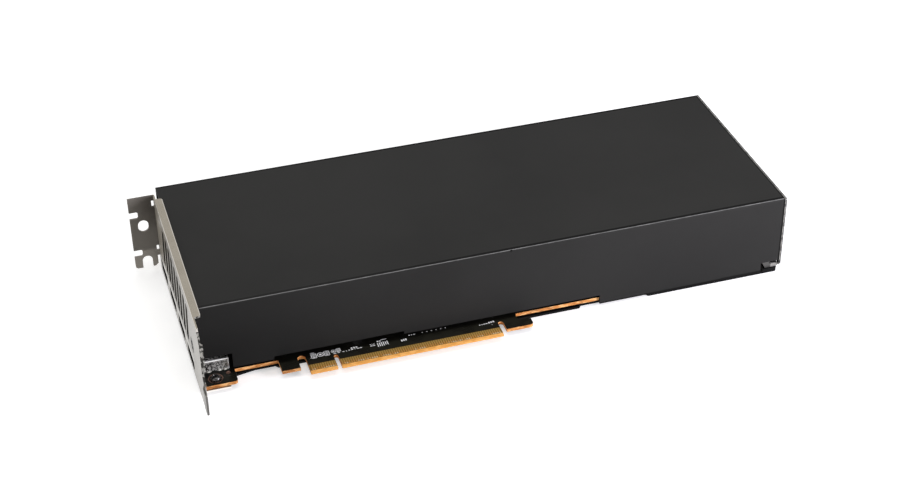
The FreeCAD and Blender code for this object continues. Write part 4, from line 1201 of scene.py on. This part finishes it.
def makeFloor():
    bm = bmesh.new()
    steps, size = floorLook["steps"], floorLook["size"]
    places = [-size / 2 + size * i / steps for i in range(steps + 1)]
    level = cadLow.z - floorLook["gap"] * mm
    grid = [[bm.verts.new((x, y, level)) for y in places] for x in places]
    for i in range(steps):
        for j in range(steps):
            bm.faces.new([grid[i][j], grid[i + 1][j], grid[i + 1][j + 1], grid[i][j + 1]])
    floor = addObject("floor", meshOf("floor", bm))
    mat, tree, shader, coords = newFinish("paleFloor")
    shader.inputs["Base Color"].default_value = (*floorLook["colour"], 1)
    shader.inputs["Roughness"].default_value = floorLook["rough"]
    shader.inputs["Specular IOR Level"].default_value = 0.0
    shader.inputs["Emission Color"].default_value = (1, 1, 1, 1)
    feed(tree, shader.inputs["Emission Strength"], times(tree, seenRays(tree), floorLook["lift"]))
    floor.data.materials.append(mat)


def makeWorld():
    world = bpy.data.worlds.new("studio")
    world.use_nodes = True
    bpy.context.scene.world = world
    tree = world.node_tree
    background = tree.nodes["Background"]
    background.inputs["Color"].default_value = (1, 1, 1, 1)
    spread = worldLook["seen"] - worldLook["diffuse"]
    strength = plus(tree, times(tree, seenRays(tree), spread), worldLook["diffuse"])
    feed(tree, background.inputs["Strength"], strength)


lampLooks = [
    dict(
        name="overhead", at=(0.02, 0.12, 1.15), aim=(0.07, 0.05, 0.02),
        size=1.0, power=5.0, colour=(1.0, 0.985, 0.96)),
    dict(
        name="rightFront", at=(0.56, -0.36, 0.18), aim=(0.22, 0.02, 0.015),
        size=0.28, power=5.6, colour=(0.93, 0.91, 1.0)),
    dict(
        name="bracketSide", at=(-0.75, 0.18, 0.35), aim=(-0.06, 0.05, 0.015),
        size=0.5, power=1.6, colour=(1.0, 1.0, 1.0)),
]


def makeLamp(look):
    data = bpy.data.lights.new(look["name"], "AREA")
    data.shape = "SQUARE"
    data.size = look["size"]
    data.energy = look["power"]
    data.color = look["colour"]
    lamp = addObject(look["name"], data)
    lamp.location = look["at"]
    lamp.rotation_euler = (Vector(look["aim"]) - Vector(look["at"])).to_track_quat("-Z", "Y").to_euler()


cameraLook = dict(at=(-0.12707, -0.5848, 0.4685), turn=(55.5172, 0.7288, -17.2458), lens=71.93, sensor=36.0)


def makeCamera():
    data = bpy.data.cameras.new("viewCamera")
    data.lens = cameraLook["lens"]
    data.sensor_width = cameraLook["sensor"]
    data.clip_start = 0.01
    camera = addObject("viewCamera", data)
    camera.location = cameraLook["at"]
    camera.rotation_euler = [math.radians(angle) for angle in cameraLook["turn"]]
    bpy.context.scene.camera = camera


makeFloor()
makeWorld()
for look in lampLooks:
    makeLamp(look)
makeCamera()
bpy.context.scene.view_settings.view_transform = "Standard"
print("stage set")
